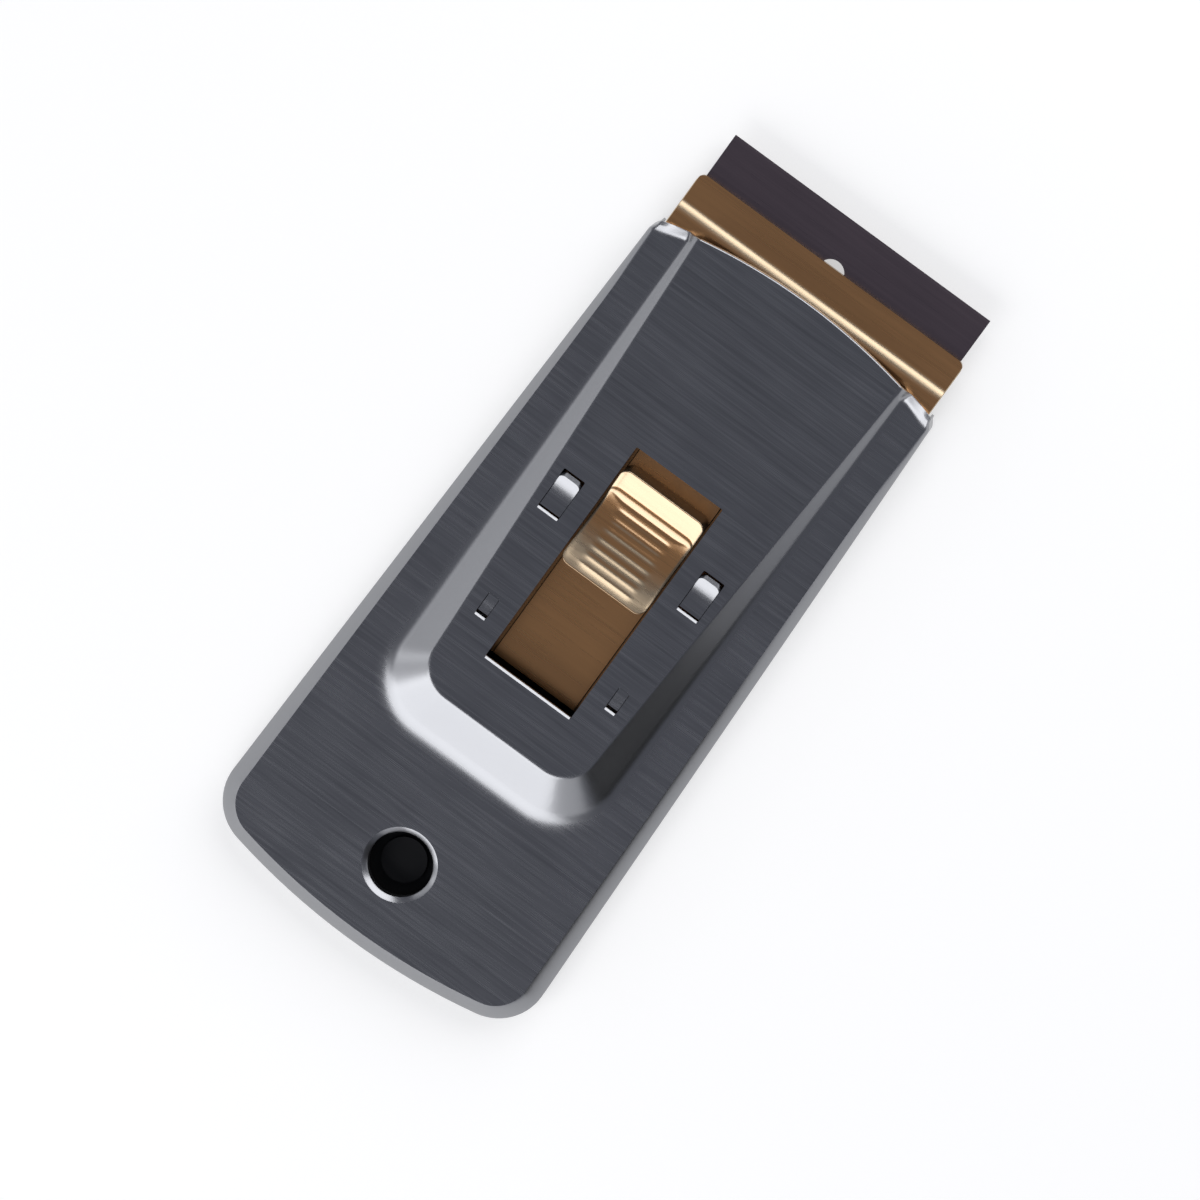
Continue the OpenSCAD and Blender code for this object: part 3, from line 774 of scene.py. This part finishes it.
def opening_cutter(casing, name, width, size, distance):
    """A cutter through the platform that rolls the sheet's upper edge down at its tail end."""
    deep = 4 * casing.sheet
    corner = casing.window_corner
    levels = [(0, -deep)]
    for i in range(OPENING_STEPS + 1):
        across, above = rolled(math.pi / 2 * i / OPENING_STEPS)
        levels.append((casing.opening_round * (1 - across), casing.opening_fall * (above - 1)))
    levels.append((casing.opening_round, deep))
    rings = []
    for grow, z in levels:
        side = width / 2
        head = size / 2
        tail = -size / 2 - grow
        corners = [Vector(c) for c in ((side, tail), (side, head), (-side, head), (-side, tail))]
        ring = []
        for before, here, after in zip(corners[-1:] + corners, corners, corners[1:] + corners):
            a = here + (before - here).normalized() * corner
            b = here + (after - here).normalized() * corner
            ring += round_corner(a, here, b, steps=4)
        rings.append([p.to_3d() + UP * z for p in ring])
    cutter = loft(name, rings)
    cutter.data.transform(lance_place(casing, distance + size / 2))
    return cutter


def window_cutter(casing):
    """The cutter of the thumb window."""
    return opening_cutter(casing, "window", casing.window_width, casing.window_length, casing.window_head)


def both_sides(piece, x):
    """A piece moved to the right, and a copy of it moved to the left."""
    twin = piece.copy()
    twin.data = piece.data.copy()
    bpy.context.scene.collection.objects.link(twin)
    piece.data.transform(Matrix.Translation((x, 0, 0)))
    twin.data.transform(Matrix.Translation((-x, 0, 0)))
    return [piece, twin]


def lance_slots(casing, lances):
    """Cutters for the four slots."""
    slots = []
    kinds = [(lances.upper_x, lances.upper_set, lances.upper_length, lances.upper_width),
             (lances.lower_x, lances.lower_set, lances.lower_length, lances.lower_width)]
    for x, place, size, width in kinds:
        slot = opening_cutter(casing, "slot", width, size, place)
        slots += both_sides(slot, x)
    return slots


def upper_lances(casing, lances):
    """Lances that lie level at a sunk tail end and curl up to a round nose at a head end."""
    run = lances.upper_length - 2 * lances.slit
    rise = math.tan(lances.upper_tilt) * run / 2 + lances.upper_sink
    steps, curl = 14, 3

    def path(short):
        shares = [i / steps * (1 - short / run) for i in range(steps + 1)]
        low = -lances.upper_sink - casing.sheet
        return [Vector((run * (s - 0.5), low + rise * s ** curl)) for s in shares]

    return lance_pair(casing, "upper_lance", path, lances.upper_x, lances.upper_width, lances.nose_corner,
                      lances.upper_set + lances.upper_length / 2)


def lower_lances(casing, lances):
    """Small lances that sink gently towards a gap at their tail ends."""
    half = lances.lower_length / 2
    steps = 10

    def path(short):
        places = [mix(-half + lances.lower_slit, half - short, i / steps) for i in range(steps + 1)]
        sinks = [lances.lower_sink * (1 - blend(-half, half, y)) for y in places]
        return [Vector((y, -casing.sheet - sink)) for y, sink in zip(places, sinks)]

    return lance_pair(casing, "lower_lance", path, lances.lower_x, lances.lower_width, 0.0,
                      lances.lower_set + half)


def lance_pair(casing, name, path, x, width, corner, distance):
    """Both lances of a kind, from the lengthwise path of their lower face."""
    side_gap = 0.02 * MM
    lance = bent_sheet(name, path, casing.sheet, width / 2 - side_gap, casing.cut_round, corner)
    lance.data.transform(lance_place(casing, distance))
    return both_sides(lance, x)


def hole_collar(casing):
    """The hang hole's drawn-in collar, as a strip from the sheet's upper face to its lower face."""
    inner = casing.hole_width / 2
    roll = casing.hole_round
    outer = inner + roll
    low = casing.flange - casing.hole_collar
    section = []
    for i in range(ROLL_STEPS + 1):
        across, above = rolled(math.pi / 2 * (1 - i / ROLL_STEPS))
        section.append((outer - roll * across, casing.flange - casing.hole_fall * (1 - above)))
    section += [(inner, low), (outer, low), (outer, casing.flange - casing.sheet)]
    middle = Vector((0, TAIL_Y + casing.hole_set, 0))
    spokes = [turned(2 * math.pi * i / HOLE_SIDES).to_3d() for i in range(HOLE_SIDES)]
    rings = [[middle + spoke * radius + UP * z for spoke in spokes] for radius, z in section]
    return loft("collar", rings, start=False, end=False)


def draw_in_hole(casing, shell):
    """Cuts the hang hole and welds its collar in."""
    radius = casing.hole_width / 2 + casing.hole_round
    middle = Vector((0, TAIL_Y + casing.hole_set, 0))
    deep = 2 * casing.sheet
    near, weld = 0.01 * MM, 0.005 * MM
    cutter = add_cylinder("hole", radius, middle + UP * (casing.flange - deep),
                          middle + UP * (casing.flange + deep), HOLE_SIDES)
    cut(shell, cutter)
    mesh = start_edit(shell)

    def on_wall(face):
        return all(abs((vert.co - middle).to_2d().length - radius) < near for vert in face.verts)

    pick_faces(shell, mesh, on_wall)
    bpy.ops.mesh.delete(type="FACE")
    end_edit()
    join(shell, hole_collar(casing))
    close_up(shell, weld)


def crimp_cutters(casing):
    """Small round cutters for the crimps that hold the two shells together."""
    lean = casing.flare / (MOUTH_Y - TAIL_Y)
    stand_off = casing.crimp_ball - casing.crimp_depth
    cutters = []
    for i in range(casing.crimp_count):
        place = casing.crimp_set + i * casing.crimp_pitch
        side = casing.mouth_width / 2 + lean * place + stand_off
        for x in (side, -side):
            deselect()
            bpy.ops.mesh.primitive_uv_sphere_add(segments=24, ring_count=16, radius=casing.crimp_ball,
                                                 location=(x, MOUTH_Y - place, casing.crimp_height))
            cutters.append(settled("crimp"))
    return cutters


def mouth_passage(casing):
    """The clear way of the carrier through the turned-in corners of the mouth."""
    half = casing.mouth_width / 2 - casing.sheet
    clear, behind, ahead = 0.1 * MM, 10 * MM, 1 * MM
    low = (-half, MOUTH_Y - behind, 0)
    return add_block("passage", low, (half, MOUTH_Y + ahead, CARRIER_HIGH.z + clear))


class SCRAPER_OT_top_shell(bpy.types.Operator):
    """Presses the top shell: a raised platform, a rolled rim, a window, lances and a hang hole"""

    bl_idname = "scraper.top_shell"
    bl_label = "Top shell"

    def execute(self, context):
        casing = context.scene.scraper_casing
        lances = context.scene.scraper_lances
        shell, edge = shell_skin(casing)
        modify(shell, "SOLIDIFY", thickness=casing.sheet, offset=-1, use_quality_normals=True)
        round_front(casing, shell, edge)
        flatten_flange(casing, shell)
        split_faces(lances, shell)
        cut(shell, mouth_passage(casing), window_cutter(casing), *lance_slots(casing, lances),
            *crimp_cutters(casing))
        draw_in_hole(casing, shell)
        modify(shell, "BEVEL", width=casing.cut_round, segments=2, limit_method="ANGLE",
               angle_limit=CUT_ANGLE)
        join(shell, *upper_lances(casing, lances), *lower_lances(casing, lances))
        dress(shell, "casing", "casing_steel", brushed_steel(context), "top_shell")
        return {"FINISHED"}


class SCRAPER_OT_back_shell(bpy.types.Operator):
    """Makes the back shell, with its edges rounded off"""

    bl_idname = "scraper.back_shell"
    bl_label = "Back shell"

    def execute(self, context):
        # The back shell's steel carries painted shade inside the casing
        soften("back_shell", "pressed_back_shell", context.scene.scraper_casing.back_round,
               "casing", "casing_steel", back_steel_with_painted_shade(context))
        return {"FINISHED"}


class SCRAPER_OT_friction_spring(bpy.types.Operator):
    """Makes the friction spring"""

    bl_idname = "scraper.friction_spring"
    bl_label = "Friction spring"

    def execute(self, context):
        soften("friction_spring", "leaf_friction_spring", context.scene.scraper_casing.spring_round,
               "casing", "spring_steel", spring_steel(context))
        return {"FINISHED"}


# The gold slide

def carrier_path(slide, short=0.0):
    """The lower face of the carrier's wide front, from its tail to the jaw's front or short of it."""
    upper = CARRIER_HIGH.z - slide.carrier_sheet
    lower = CARRIER_LOW.z
    front = CARRIER_HIGH.y
    step_front = front - slide.jaw_flat
    step_back = step_front - slide.jaw_step
    tail = front - slide.carrier_front
    corners = [(tail, upper), (step_back, upper), (step_front, lower), (front - short, lower)]
    return rounded_path([Vector(corner) for corner in corners], slide.bend)


class SCRAPER_OT_blade_carrier(bpy.types.Operator):
    """Bends the gold carrier: a stepped jaw in front and a tongue behind"""

    bl_idname = "scraper.blade_carrier"
    bl_label = "Blade carrier"

    def execute(self, context):
        slide = context.scene.scraper_slide
        carrier = bent_sheet("gold_blade_carrier", lambda short: carrier_path(slide, short),
                             slide.carrier_sheet, CARRIER_HIGH.x, slide.edge_round, slide.jaw_corner)
        start = carrier_path(slide)[0]
        tongue_path = [Vector((CARRIER_LOW.y, start.y)), Vector((start.x + slide.bend, start.y))]
        tongue = bent_sheet("tongue", lambda short: tongue_path, slide.carrier_sheet,
                            slide.tongue_width / 2, slide.edge_round)
        cut(carrier, tongue, operation="UNION")
        dress(carrier, "slide", "gold_plate", gold_plate(context), "blade_carrier")
        return {"FINISHED"}


def grip_path(casing, slide):
    """The grip's lengthwise outline from its tail foot over both crests to its head foot.

    Each point comes with its share of the way along the ribbed saddle.
    """
    head = MOUTH_Y - slide.grip_set
    tail = head - slide.grip_length
    base = GRIP_LOW.z + slide.grip_plate
    head_fall = math.tan(slide.head_slope)
    tail_fall = math.tan(slide.tail_slope)
    head_foot = Vector((head, base))
    tail_foot = Vector((tail, base))
    head_top = Vector((head - slide.head_lean, platform_height(casing, head) + slide.head_crest_height))
    tail_top = Vector((tail + slide.tail_lean, platform_height(casing, tail) + slide.tail_crest_height))
    head_end = head_top - Vector((1, head_fall)) * slide.head_face
    tail_end = tail_top + Vector((1, -tail_fall)) * slide.tail_face
    rise = tail_end.y - head_end.y + tail_fall * tail_end.x + head_fall * head_end.x
    low_y = rise / (head_fall + tail_fall)
    low = Vector((low_y, head_end.y - head_fall * (head_end.x - low_y)))
    tail_edge = rounded_path([tail_foot, tail_top, tail_end], slide.crest_edge)
    head_edge = rounded_path([head_end, head_top, head_foot], slide.crest_edge)
    points_per_rib = 12
    saddle = round_corner(tail_end, low, head_end, points_per_rib * slide.rib_count)
    run = head_end.x - tail_end.x
    points = [(p, 0) for p in tail_edge[:-1]]
    points += [(p, (p.x - tail_end.x) / run) for p in saddle]
    return points + [(p, 1) for p in head_edge[1:]]


def grip_ring(slide, path, x, distance):
    """The grip's outline at a place across it, which lies at a distance from the nearer side."""
    base = path[0][0].y
    top = max(point.y for point, share in path)
    centre = (path[0][0].x + path[-1][0].x) / 2
    half = (path[-1][0].x - path[0][0].x) / 2
    narrow = 1 - rounding(slide.grip_corner, distance) / half
    low = 1 - rounding(slide.grip_side, distance) / (top - base)
    spread_from, groove_power = 0.8, 3
    ring = []
    for point, share in path:
        reach = (slide.rib_width + slide.rib_spread * blend(spread_from, 1, share)) / 2
        middle = 1 - blend(reach - slide.rib_fade / 2, reach + slide.rib_fade / 2, abs(x))
        groove = abs(math.cos(math.pi * slide.rib_count * share)) ** groove_power * (0 < share < 1)
        depth = middle * groove * mix(slide.rib_tail, slide.rib_head, share)
        y = centre + (point.x - centre) * narrow
        ring.append(Vector((x, y, base + (point.y - base) * low - depth)))
    return ring


def grip_hollow(slide, path):
    """The room under the grip's arch, open through its plate, as a cutter."""
    wall = slide.grip_plate
    tail = path[0][0].x + slide.tail_lean + wall
    head = path[-1][0].x - slide.head_lean - wall
    roof = [point for point, share in path if tail < point.x < head]
    low = GRIP_LOW.z - wall
    section = [Vector((roof[0].x, low))]
    section += [point - Vector((0, wall)) for point in roof]
    section += [Vector((roof[-1].x, low))]
    half = GRIP_HIGH.x - wall
    return loft("hollow", [[Vector((x, p.x, p.y)) for p in section] for x in (-half, half)])


class SCRAPER_OT_thumb_grip(bpy.types.Operator):
    """Forms the hollow, ribbed thumb grip and its plate"""

    bl_idname = "scraper.thumb_grip"
    bl_label = "Thumb grip"

    def execute(self, context):
        casing = context.scene.scraper_casing
        slide = context.scene.scraper_slide
        path = grip_path(casing, slide)
        half = GRIP_HIGH.x
        columns = 30
        corner_steps = 10
        sides = [slide.grip_corner * (i / corner_steps) ** 2 for i in range(corner_steps)]
        flat = [mix(slide.grip_corner, half, 2 * i / columns) for i in range(columns // 2)]
        across = [(-half + e, e) for e in sides + flat]
        across += [(0, half)] + [(-x, e) for x, e in reversed(across)]
        rings = [grip_ring(slide, path, x, e) for x, e in across]
        grip = loft("gold_thumb_grip", rings)
        plate_path = [Vector((GRIP_LOW.y, GRIP_LOW.z)), Vector((GRIP_HIGH.y, GRIP_LOW.z))]
        plate = bent_sheet("plate", lambda short: plate_path, slide.grip_plate, half, slide.edge_round)
        cut(grip, plate, operation="UNION")
        cut(grip, grip_hollow(slide, path))
        dress(grip, "slide", "gold_plate", gold_plate(context), "thumb_grip")
        return {"FINISHED"}


class SCRAPER_OT_clamp(bpy.types.Operator):
    """Makes the clamp plate and its rivets"""

    bl_idname = "scraper.clamp"
    bl_label = "Clamp plate and rivets"

    def execute(self, context):
        slide = context.scene.scraper_slide
        gold = gold_plate(context)
        soften("clamp_plate", "gold_clamp_plate", slide.clamp_round, "slide", "gold_plate", gold)
        soften("clamp_rivets", "gold_clamp_rivets", slide.rivet_round, "slide", "gold_plate", gold)
        return {"FINISHED"}


class SCRAPER_OT_blade(bpy.types.Operator):
    """Grinds the blade and rounds off the edges of its folded spine"""

    bl_idname = "scraper.blade"
    bl_label = "Blade and spine"

    def execute(self, context):
        slide = context.scene.scraper_slide
        blade = add_block("ground_blade", BLADE_LOW, BLADE_HIGH)
        edge_y = BLADE_HIGH.y
        middle = (BLADE_LOW.z + BLADE_HIGH.z) / 2
        thick = BLADE_HIGH.z - BLADE_LOW.z
        for line in (slide.grind, slide.hone):
            split(blade, (0, edge_y - line, 0), (0, 1, 0))
        hone_share = 0.5
        for vert in blade.data.vertices:
            if vert.co.y > edge_y - slide.hone / 2:
                vert.co.z = middle + (vert.co.z - middle) * slide.edge / thick
            elif vert.co.y > edge_y - slide.grind + slide.hone / 2:
                vert.co.z = middle + (vert.co.z - middle) * hone_share
        centre = Vector((0, edge_y - slide.blade_hole_set, 0))
        hole = add_cylinder("hole", slide.blade_hole / 2, centre, centre + UP * 2 * middle, HOLE_SIDES)
        cut(blade, hole)
        steel = ground_steel(context)
        dress(blade, "slide", "blade_steel", steel, "blade", smooth=CRISP_ANGLE)
        soften("blade_spine", "folded_blade_spine", slide.spine_round, "slide", "blade_steel", steel)
        return {"FINISHED"}


# Finishes

class Signal:
    """A socket's value. Sums on it add Math nodes."""

    def __init__(self, finish, socket):
        self.finish = finish
        self.socket = socket

    def math(self, operation, first, second):
        return self.finish.node("ShaderNodeMath", {"operation": operation}, {0: first, 1: second})

    def __add__(self, other):
        return self.math("ADD", self, other)

    def __sub__(self, other):
        return self.math("SUBTRACT", self, other)

    def __rsub__(self, other):
        return self.math("SUBTRACT", other, self)

    def __mul__(self, other):
        return self.math("MULTIPLY", self, other)

    __radd__ = __add__
    __rmul__ = __mul__


class Finish:
    """A material whose nodes are written as expressions."""

    def __init__(self, name):
        self.material = bpy.data.materials.new(name)
        self.material.use_nodes = True
        self.tree = self.material.node_tree
        self.shader = self.tree.nodes["Principled BSDF"]

    def node(self, kind, settings=None, inputs=None, output=0):
        made = self.tree.nodes.new(kind)
        for key, value in (settings or {}).items():
            setattr(made, key, value)
        for key, value in (inputs or {}).items():
            self.feed(made.inputs[key], value)
        return Signal(self, made.outputs[output])

    def feed(self, socket, value):
        if isinstance(value, Signal):
            self.tree.links.new(value.socket, socket)
        else:
            socket.default_value = value

    def surface(self, **inputs):
        for key, value in inputs.items():
            self.feed(self.shader.inputs[key.replace("_", " ")], value)
        return self.material

    def place(self):
        """The object's own coordinates."""
        return self.node("ShaderNodeTexCoord", output="Object")

    def slope(self):
        """0 on level faces and 1 on sloping ones."""
        level_z, slope_z = 0.993, 0.95
        normal = self.node("ShaderNodeTexCoord", output="Normal")
        level = self.node("ShaderNodeSeparateXYZ", inputs={0: normal}, output="Z")
        ends = {"Value": level, "From Min": level_z, "From Max": slope_z}
        return self.node("ShaderNodeMapRange", inputs=ends)

    def noise(self, scale, detail=2.0, roughness=0.5):
        """Noise on the object's own coordinates, stretched by a scale along each axis."""
        place = self.node("ShaderNodeMapping", inputs={"Vector": self.place(), "Scale": scale})
        sockets = {"Vector": place, "Scale": 1.0, "Detail": detail, "Roughness": roughness}
        return self.node("ShaderNodeTexNoise", inputs=sockets)

    def mix(self, share, first, second):
        """A colour on the way from one to another."""
        ends = [end if isinstance(end, Signal) else (*end, 1) for end in (first, second)]
        sockets = {0: share, 6: ends[0], 7: ends[1]}
        return self.node("ShaderNodeMix", {"data_type": "RGBA"}, sockets, output=2)

    def bump(self, height, strength, distance):
        """A normal that follows a height."""
        sockets = {"Strength": strength, "Distance": distance, "Height": height}
        return self.node("ShaderNodeBump", inputs=sockets)


def shade(value, factor):
    """A colour made lighter or darker."""
    return [min(channel * factor, 1.0) for channel in value]


def brushed(name, tone, lines, roughness, contrast, depth, polish=None, rubbed=None, dark_above=None):
    """A metal brushed across the tool, with streaks of two widths and a faint unevenness.

    Its slopes can be polished to another roughness, and painted a paler tone as a painted highlight.
    Above a height that is given, it is painted dark as painted shade.
    """
    rough_spread, bump_strength = 0.24, 0.35
    # Tone share and extra roughness of the painted shade
    painted_shade_tone, painted_shade_roughness = 0.08, 0.3
    finish = Finish(name)
    coarse = finish.noise((60, lines / 3, 250), detail=3.0)
    fine = finish.noise((110, lines, 400), detail=3.0, roughness=0.6)
    cloud = finish.noise((130, 90, 130), detail=2.0)
    streak = coarse * 0.45 + fine * 0.4 + cloud * 0.15
    rough = streak * rough_spread + (roughness - rough_spread / 2)
    if polish is not None:
        bright = finish.slope()
        streak = streak + (0.5 - streak) * bright
        rough = rough + (polish - rough) * bright
    base = finish.mix(streak, shade(tone, 1 - contrast), shade(tone, 1 + contrast))
    # Painted highlight: sloping faces get a paler tone, so that their highlights come out cream
    if rubbed is not None:
        base = finish.mix(finish.slope(), base, rubbed)
    # Painted shade: above the given height the steel is painted near black, standing in for the shade
    # inside the closed casing
    if dark_above is not None:
        height = finish.node("ShaderNodeSeparateXYZ", inputs={0: finish.place()}, output="Z")
        inside = height.math("GREATER_THAN", height, dark_above)
        base = finish.mix(inside, base, shade(tone, painted_shade_tone))
        rough = rough + inside * painted_shade_roughness
    return finish.surface(
        Base_Color=base,
        Metallic=1.0,
        Roughness=rough,
        Normal=finish.bump(fine * 0.6 + coarse * 0.4, bump_strength, depth))


def once(name, tone, **look):
    """A brushed metal that is made the first time that it is asked for."""
    return bpy.data.materials.get(name) or brushed(name, tone, **look)


CASING_LOOK = {"lines": 7000, "roughness": 0.26, "contrast": 0.48, "depth": 0.008 * MM, "polish": 0.28}


def brushed_steel(context):
    return once("brushed_steel", context.scene.scraper_finishes.steel, **CASING_LOOK)


def back_steel_with_painted_shade(context):
    """The casing's steel, painted dark above the back shell's inner face as painted shade inside the
    casing.
    """
    # Share of the sheet's thickness above which the painted shade starts
    painted_shade_share = 0.9
    inside = context.scene.scraper_casing.sheet * painted_shade_share
    return once("back_steel_with_painted_shade", context.scene.scraper_finishes.steel, **CASING_LOOK, dark_above=inside)


def spring_steel(context):
    return once("plain_spring_steel", context.scene.scraper_finishes.spring,
                lines=5000, roughness=0.32, contrast=0.1, depth=0.005 * MM)


def gold_plate(context):
    tones = context.scene.scraper_finishes
    # The paler gold on sloping faces is a painted highlight
    return once("bright_gold_plate", tones.gold, rubbed=tones.painted_highlight_gold,
                lines=5000, roughness=0.29, contrast=0.1, depth=0.004 * MM)


def ground_steel(context):
    return once("dark_ground_steel", context.scene.scraper_finishes.blade,
                lines=9000, roughness=0.30, contrast=0.15, depth=0.006 * MM)


def pale_floor(context):
    """A pale floor that looks white, and that keeps the object's shadow."""
    finish = Finish("pale_floor")
    tone = context.scene.scraper_finishes.floor
    seen = [finish.node("ShaderNodeLightPath", output=f"Is {kind} Ray")
            for kind in ("Camera", "Glossy", "Transmission")]
    lift = context.scene.scraper_stage.floor_lift
    return finish.surface(Base_Color=(*tone, 1), Roughness=0.9, Specular_IOR_Level=0.0,
                          Emission_Color=seen[0] + seen[1] + seen[2], Emission_Strength=lift)


# The stage

# Each light's place, its width and height, and its brightness
LIGHTS = {
    "tail_light": ((-0.10, -0.58, 0.30), (0.7, 0.56), 2.85),
    "head_light": ((0.05, 0.56, 0.37), (0.9, 0.46), 3.0),
    "left_light": ((-0.65, -0.10, 0.16), (0.6, 0.30), 0.82),
    "left_tail_light": ((-0.52, -0.45, 0.18), (0.42, 0.30), 1.0),
    "right_tail_light": ((0.36, -0.52, 0.18), (0.3, 0.30), 0.85),
    "right_light": ((0.35, 0.122, 0.05), (0.386, 0.09), 0.97),
}
# Two corners of the dark card
CARD_LOW, CARD_HIGH = (0.100, -0.075, 0.0), (0.101, -0.009, 0.060)


def add_light(name, place, size, radiance):
    """A soft light that faces the object, with the brightness that its face shows."""
    data = bpy.data.lights.new(name, "AREA")
    data.shape = "RECTANGLE"
    data.size, data.size_y = size
    data.energy = radiance * math.pi * size[0] * size[1]
    light = bpy.data.objects.new(name, data)
    light.location = place
    light.rotation_euler = Vector(place).to_track_quat("Z", "Y").to_euler()
    bpy.context.scene.collection.objects.link(light)


def add_shade_card():
    """A dark card beside the casing's right slope, which only reflections see."""
    card = add_block("shade_card", CARD_LOW, CARD_HIGH)
    dark = Finish("dark_card").surface(Base_Color=(0.02, 0.02, 0.02, 1), Roughness=1.0)
    card.data.materials.append(dark)
    card.visible_camera = False
    card.visible_diffuse = False
    card.visible_shadow = False


def add_camera(settings):
    """A camera nearly overhead, leaning towards the blade and turned as in the photograph."""
    lean = math.cos(settings.view_side)
    back = Vector((math.sin(settings.view_side), math.sin(settings.view_tilt) * lean,
                   math.cos(settings.view_tilt) * lean))
    side = Vector((0, 1, 0)).cross(back).normalized()
    head = back.cross(side)
    cosine, sine = turned(settings.view_turn)
    right = head * cosine + side * sine
    up = head * sine - side * cosine
    data = bpy.data.cameras.new("camera")
    data.angle = 2 * math.atan(settings.view_width / 2 / settings.view_distance)
    data.clip_end = 10
    camera = bpy.data.objects.new("camera", data)
    turn = Matrix((right, up, back)).transposed().to_4x4()
    aim = UP * CAD_BOX[1].z / 2 - up * settings.view_rise
    camera.matrix_world = Matrix.Translation(aim + back * settings.view_distance) @ turn
    bpy.context.scene.collection.objects.link(camera)
    bpy.context.scene.camera = camera


class SCRAPER_OT_stage(bpy.types.Operator):
    """Sets the floor, the sky, the lights, the dark card and the camera"""

    bl_idname = "scraper.stage"
    bl_label = "Stage"

    def execute(self, context):
        settings = context.scene.scraper_stage
        deselect()
        bpy.ops.mesh.primitive_plane_add(size=settings.floor_size)
        floor = context.object
        floor.name = "floor"
        floor.data.materials.append(pale_floor(context))
        world = bpy.data.worlds.new("studio")
        context.scene.world = world
        world.use_nodes = True
        world.node_tree.nodes["Background"].inputs["Color"].default_value = (*settings.sky, 1)
        for name, (place, size, radiance) in LIGHTS.items():
            add_light(name, place, size, radiance)
        add_shade_card()
        context.scene.view_settings.view_transform = "Standard"
        add_camera(settings)
        return {"FINISHED"}


class SCRAPER_PT_panel(bpy.types.Panel):
    """Lists the steps that make the scraper"""

    bl_idname = "SCRAPER_PT_panel"
    bl_label = "Razor blade scraper"
    bl_space_type = "VIEW_3D"
    bl_region_type = "UI"
    bl_category = "Scraper"

    def draw(self, context):
        for operator in OPERATORS:
            self.layout.operator(operator.bl_idname)
        for group in GROUPS:
            settings = getattr(context.scene, group)
            box = self.layout.box()
            for key in settings.__annotations__:
                box.prop(settings, key)


OPERATORS = [SCRAPER_OT_top_shell, SCRAPER_OT_back_shell, SCRAPER_OT_friction_spring,
             SCRAPER_OT_blade_carrier, SCRAPER_OT_thumb_grip, SCRAPER_OT_clamp, SCRAPER_OT_blade,
             SCRAPER_OT_stage]
GROUPS = {"scraper_casing": CasingSizes, "scraper_lances": LanceSizes, "scraper_slide": SlideSizes,
          "scraper_finishes": Finishes, "scraper_stage": StageSettings}


def register():
    for group, kind in GROUPS.items():
        bpy.utils.register_class(kind)
        setattr(bpy.types.Scene, group, PointerProperty(type=kind))
    for kind in [*OPERATORS, SCRAPER_PT_panel]:
        bpy.utils.register_class(kind)


def unregister():
    for kind in [SCRAPER_PT_panel, *OPERATORS]:
        bpy.utils.unregister_class(kind)
    for group, kind in GROUPS.items():
        delattr(bpy.types.Scene, group)
        bpy.utils.unregister_class(kind)


def main():
    register()
    for operator in OPERATORS:
        module, name = operator.bl_idname.split(".")
        getattr(getattr(bpy.ops, module), name)()


if __name__ == "__main__":
    main()
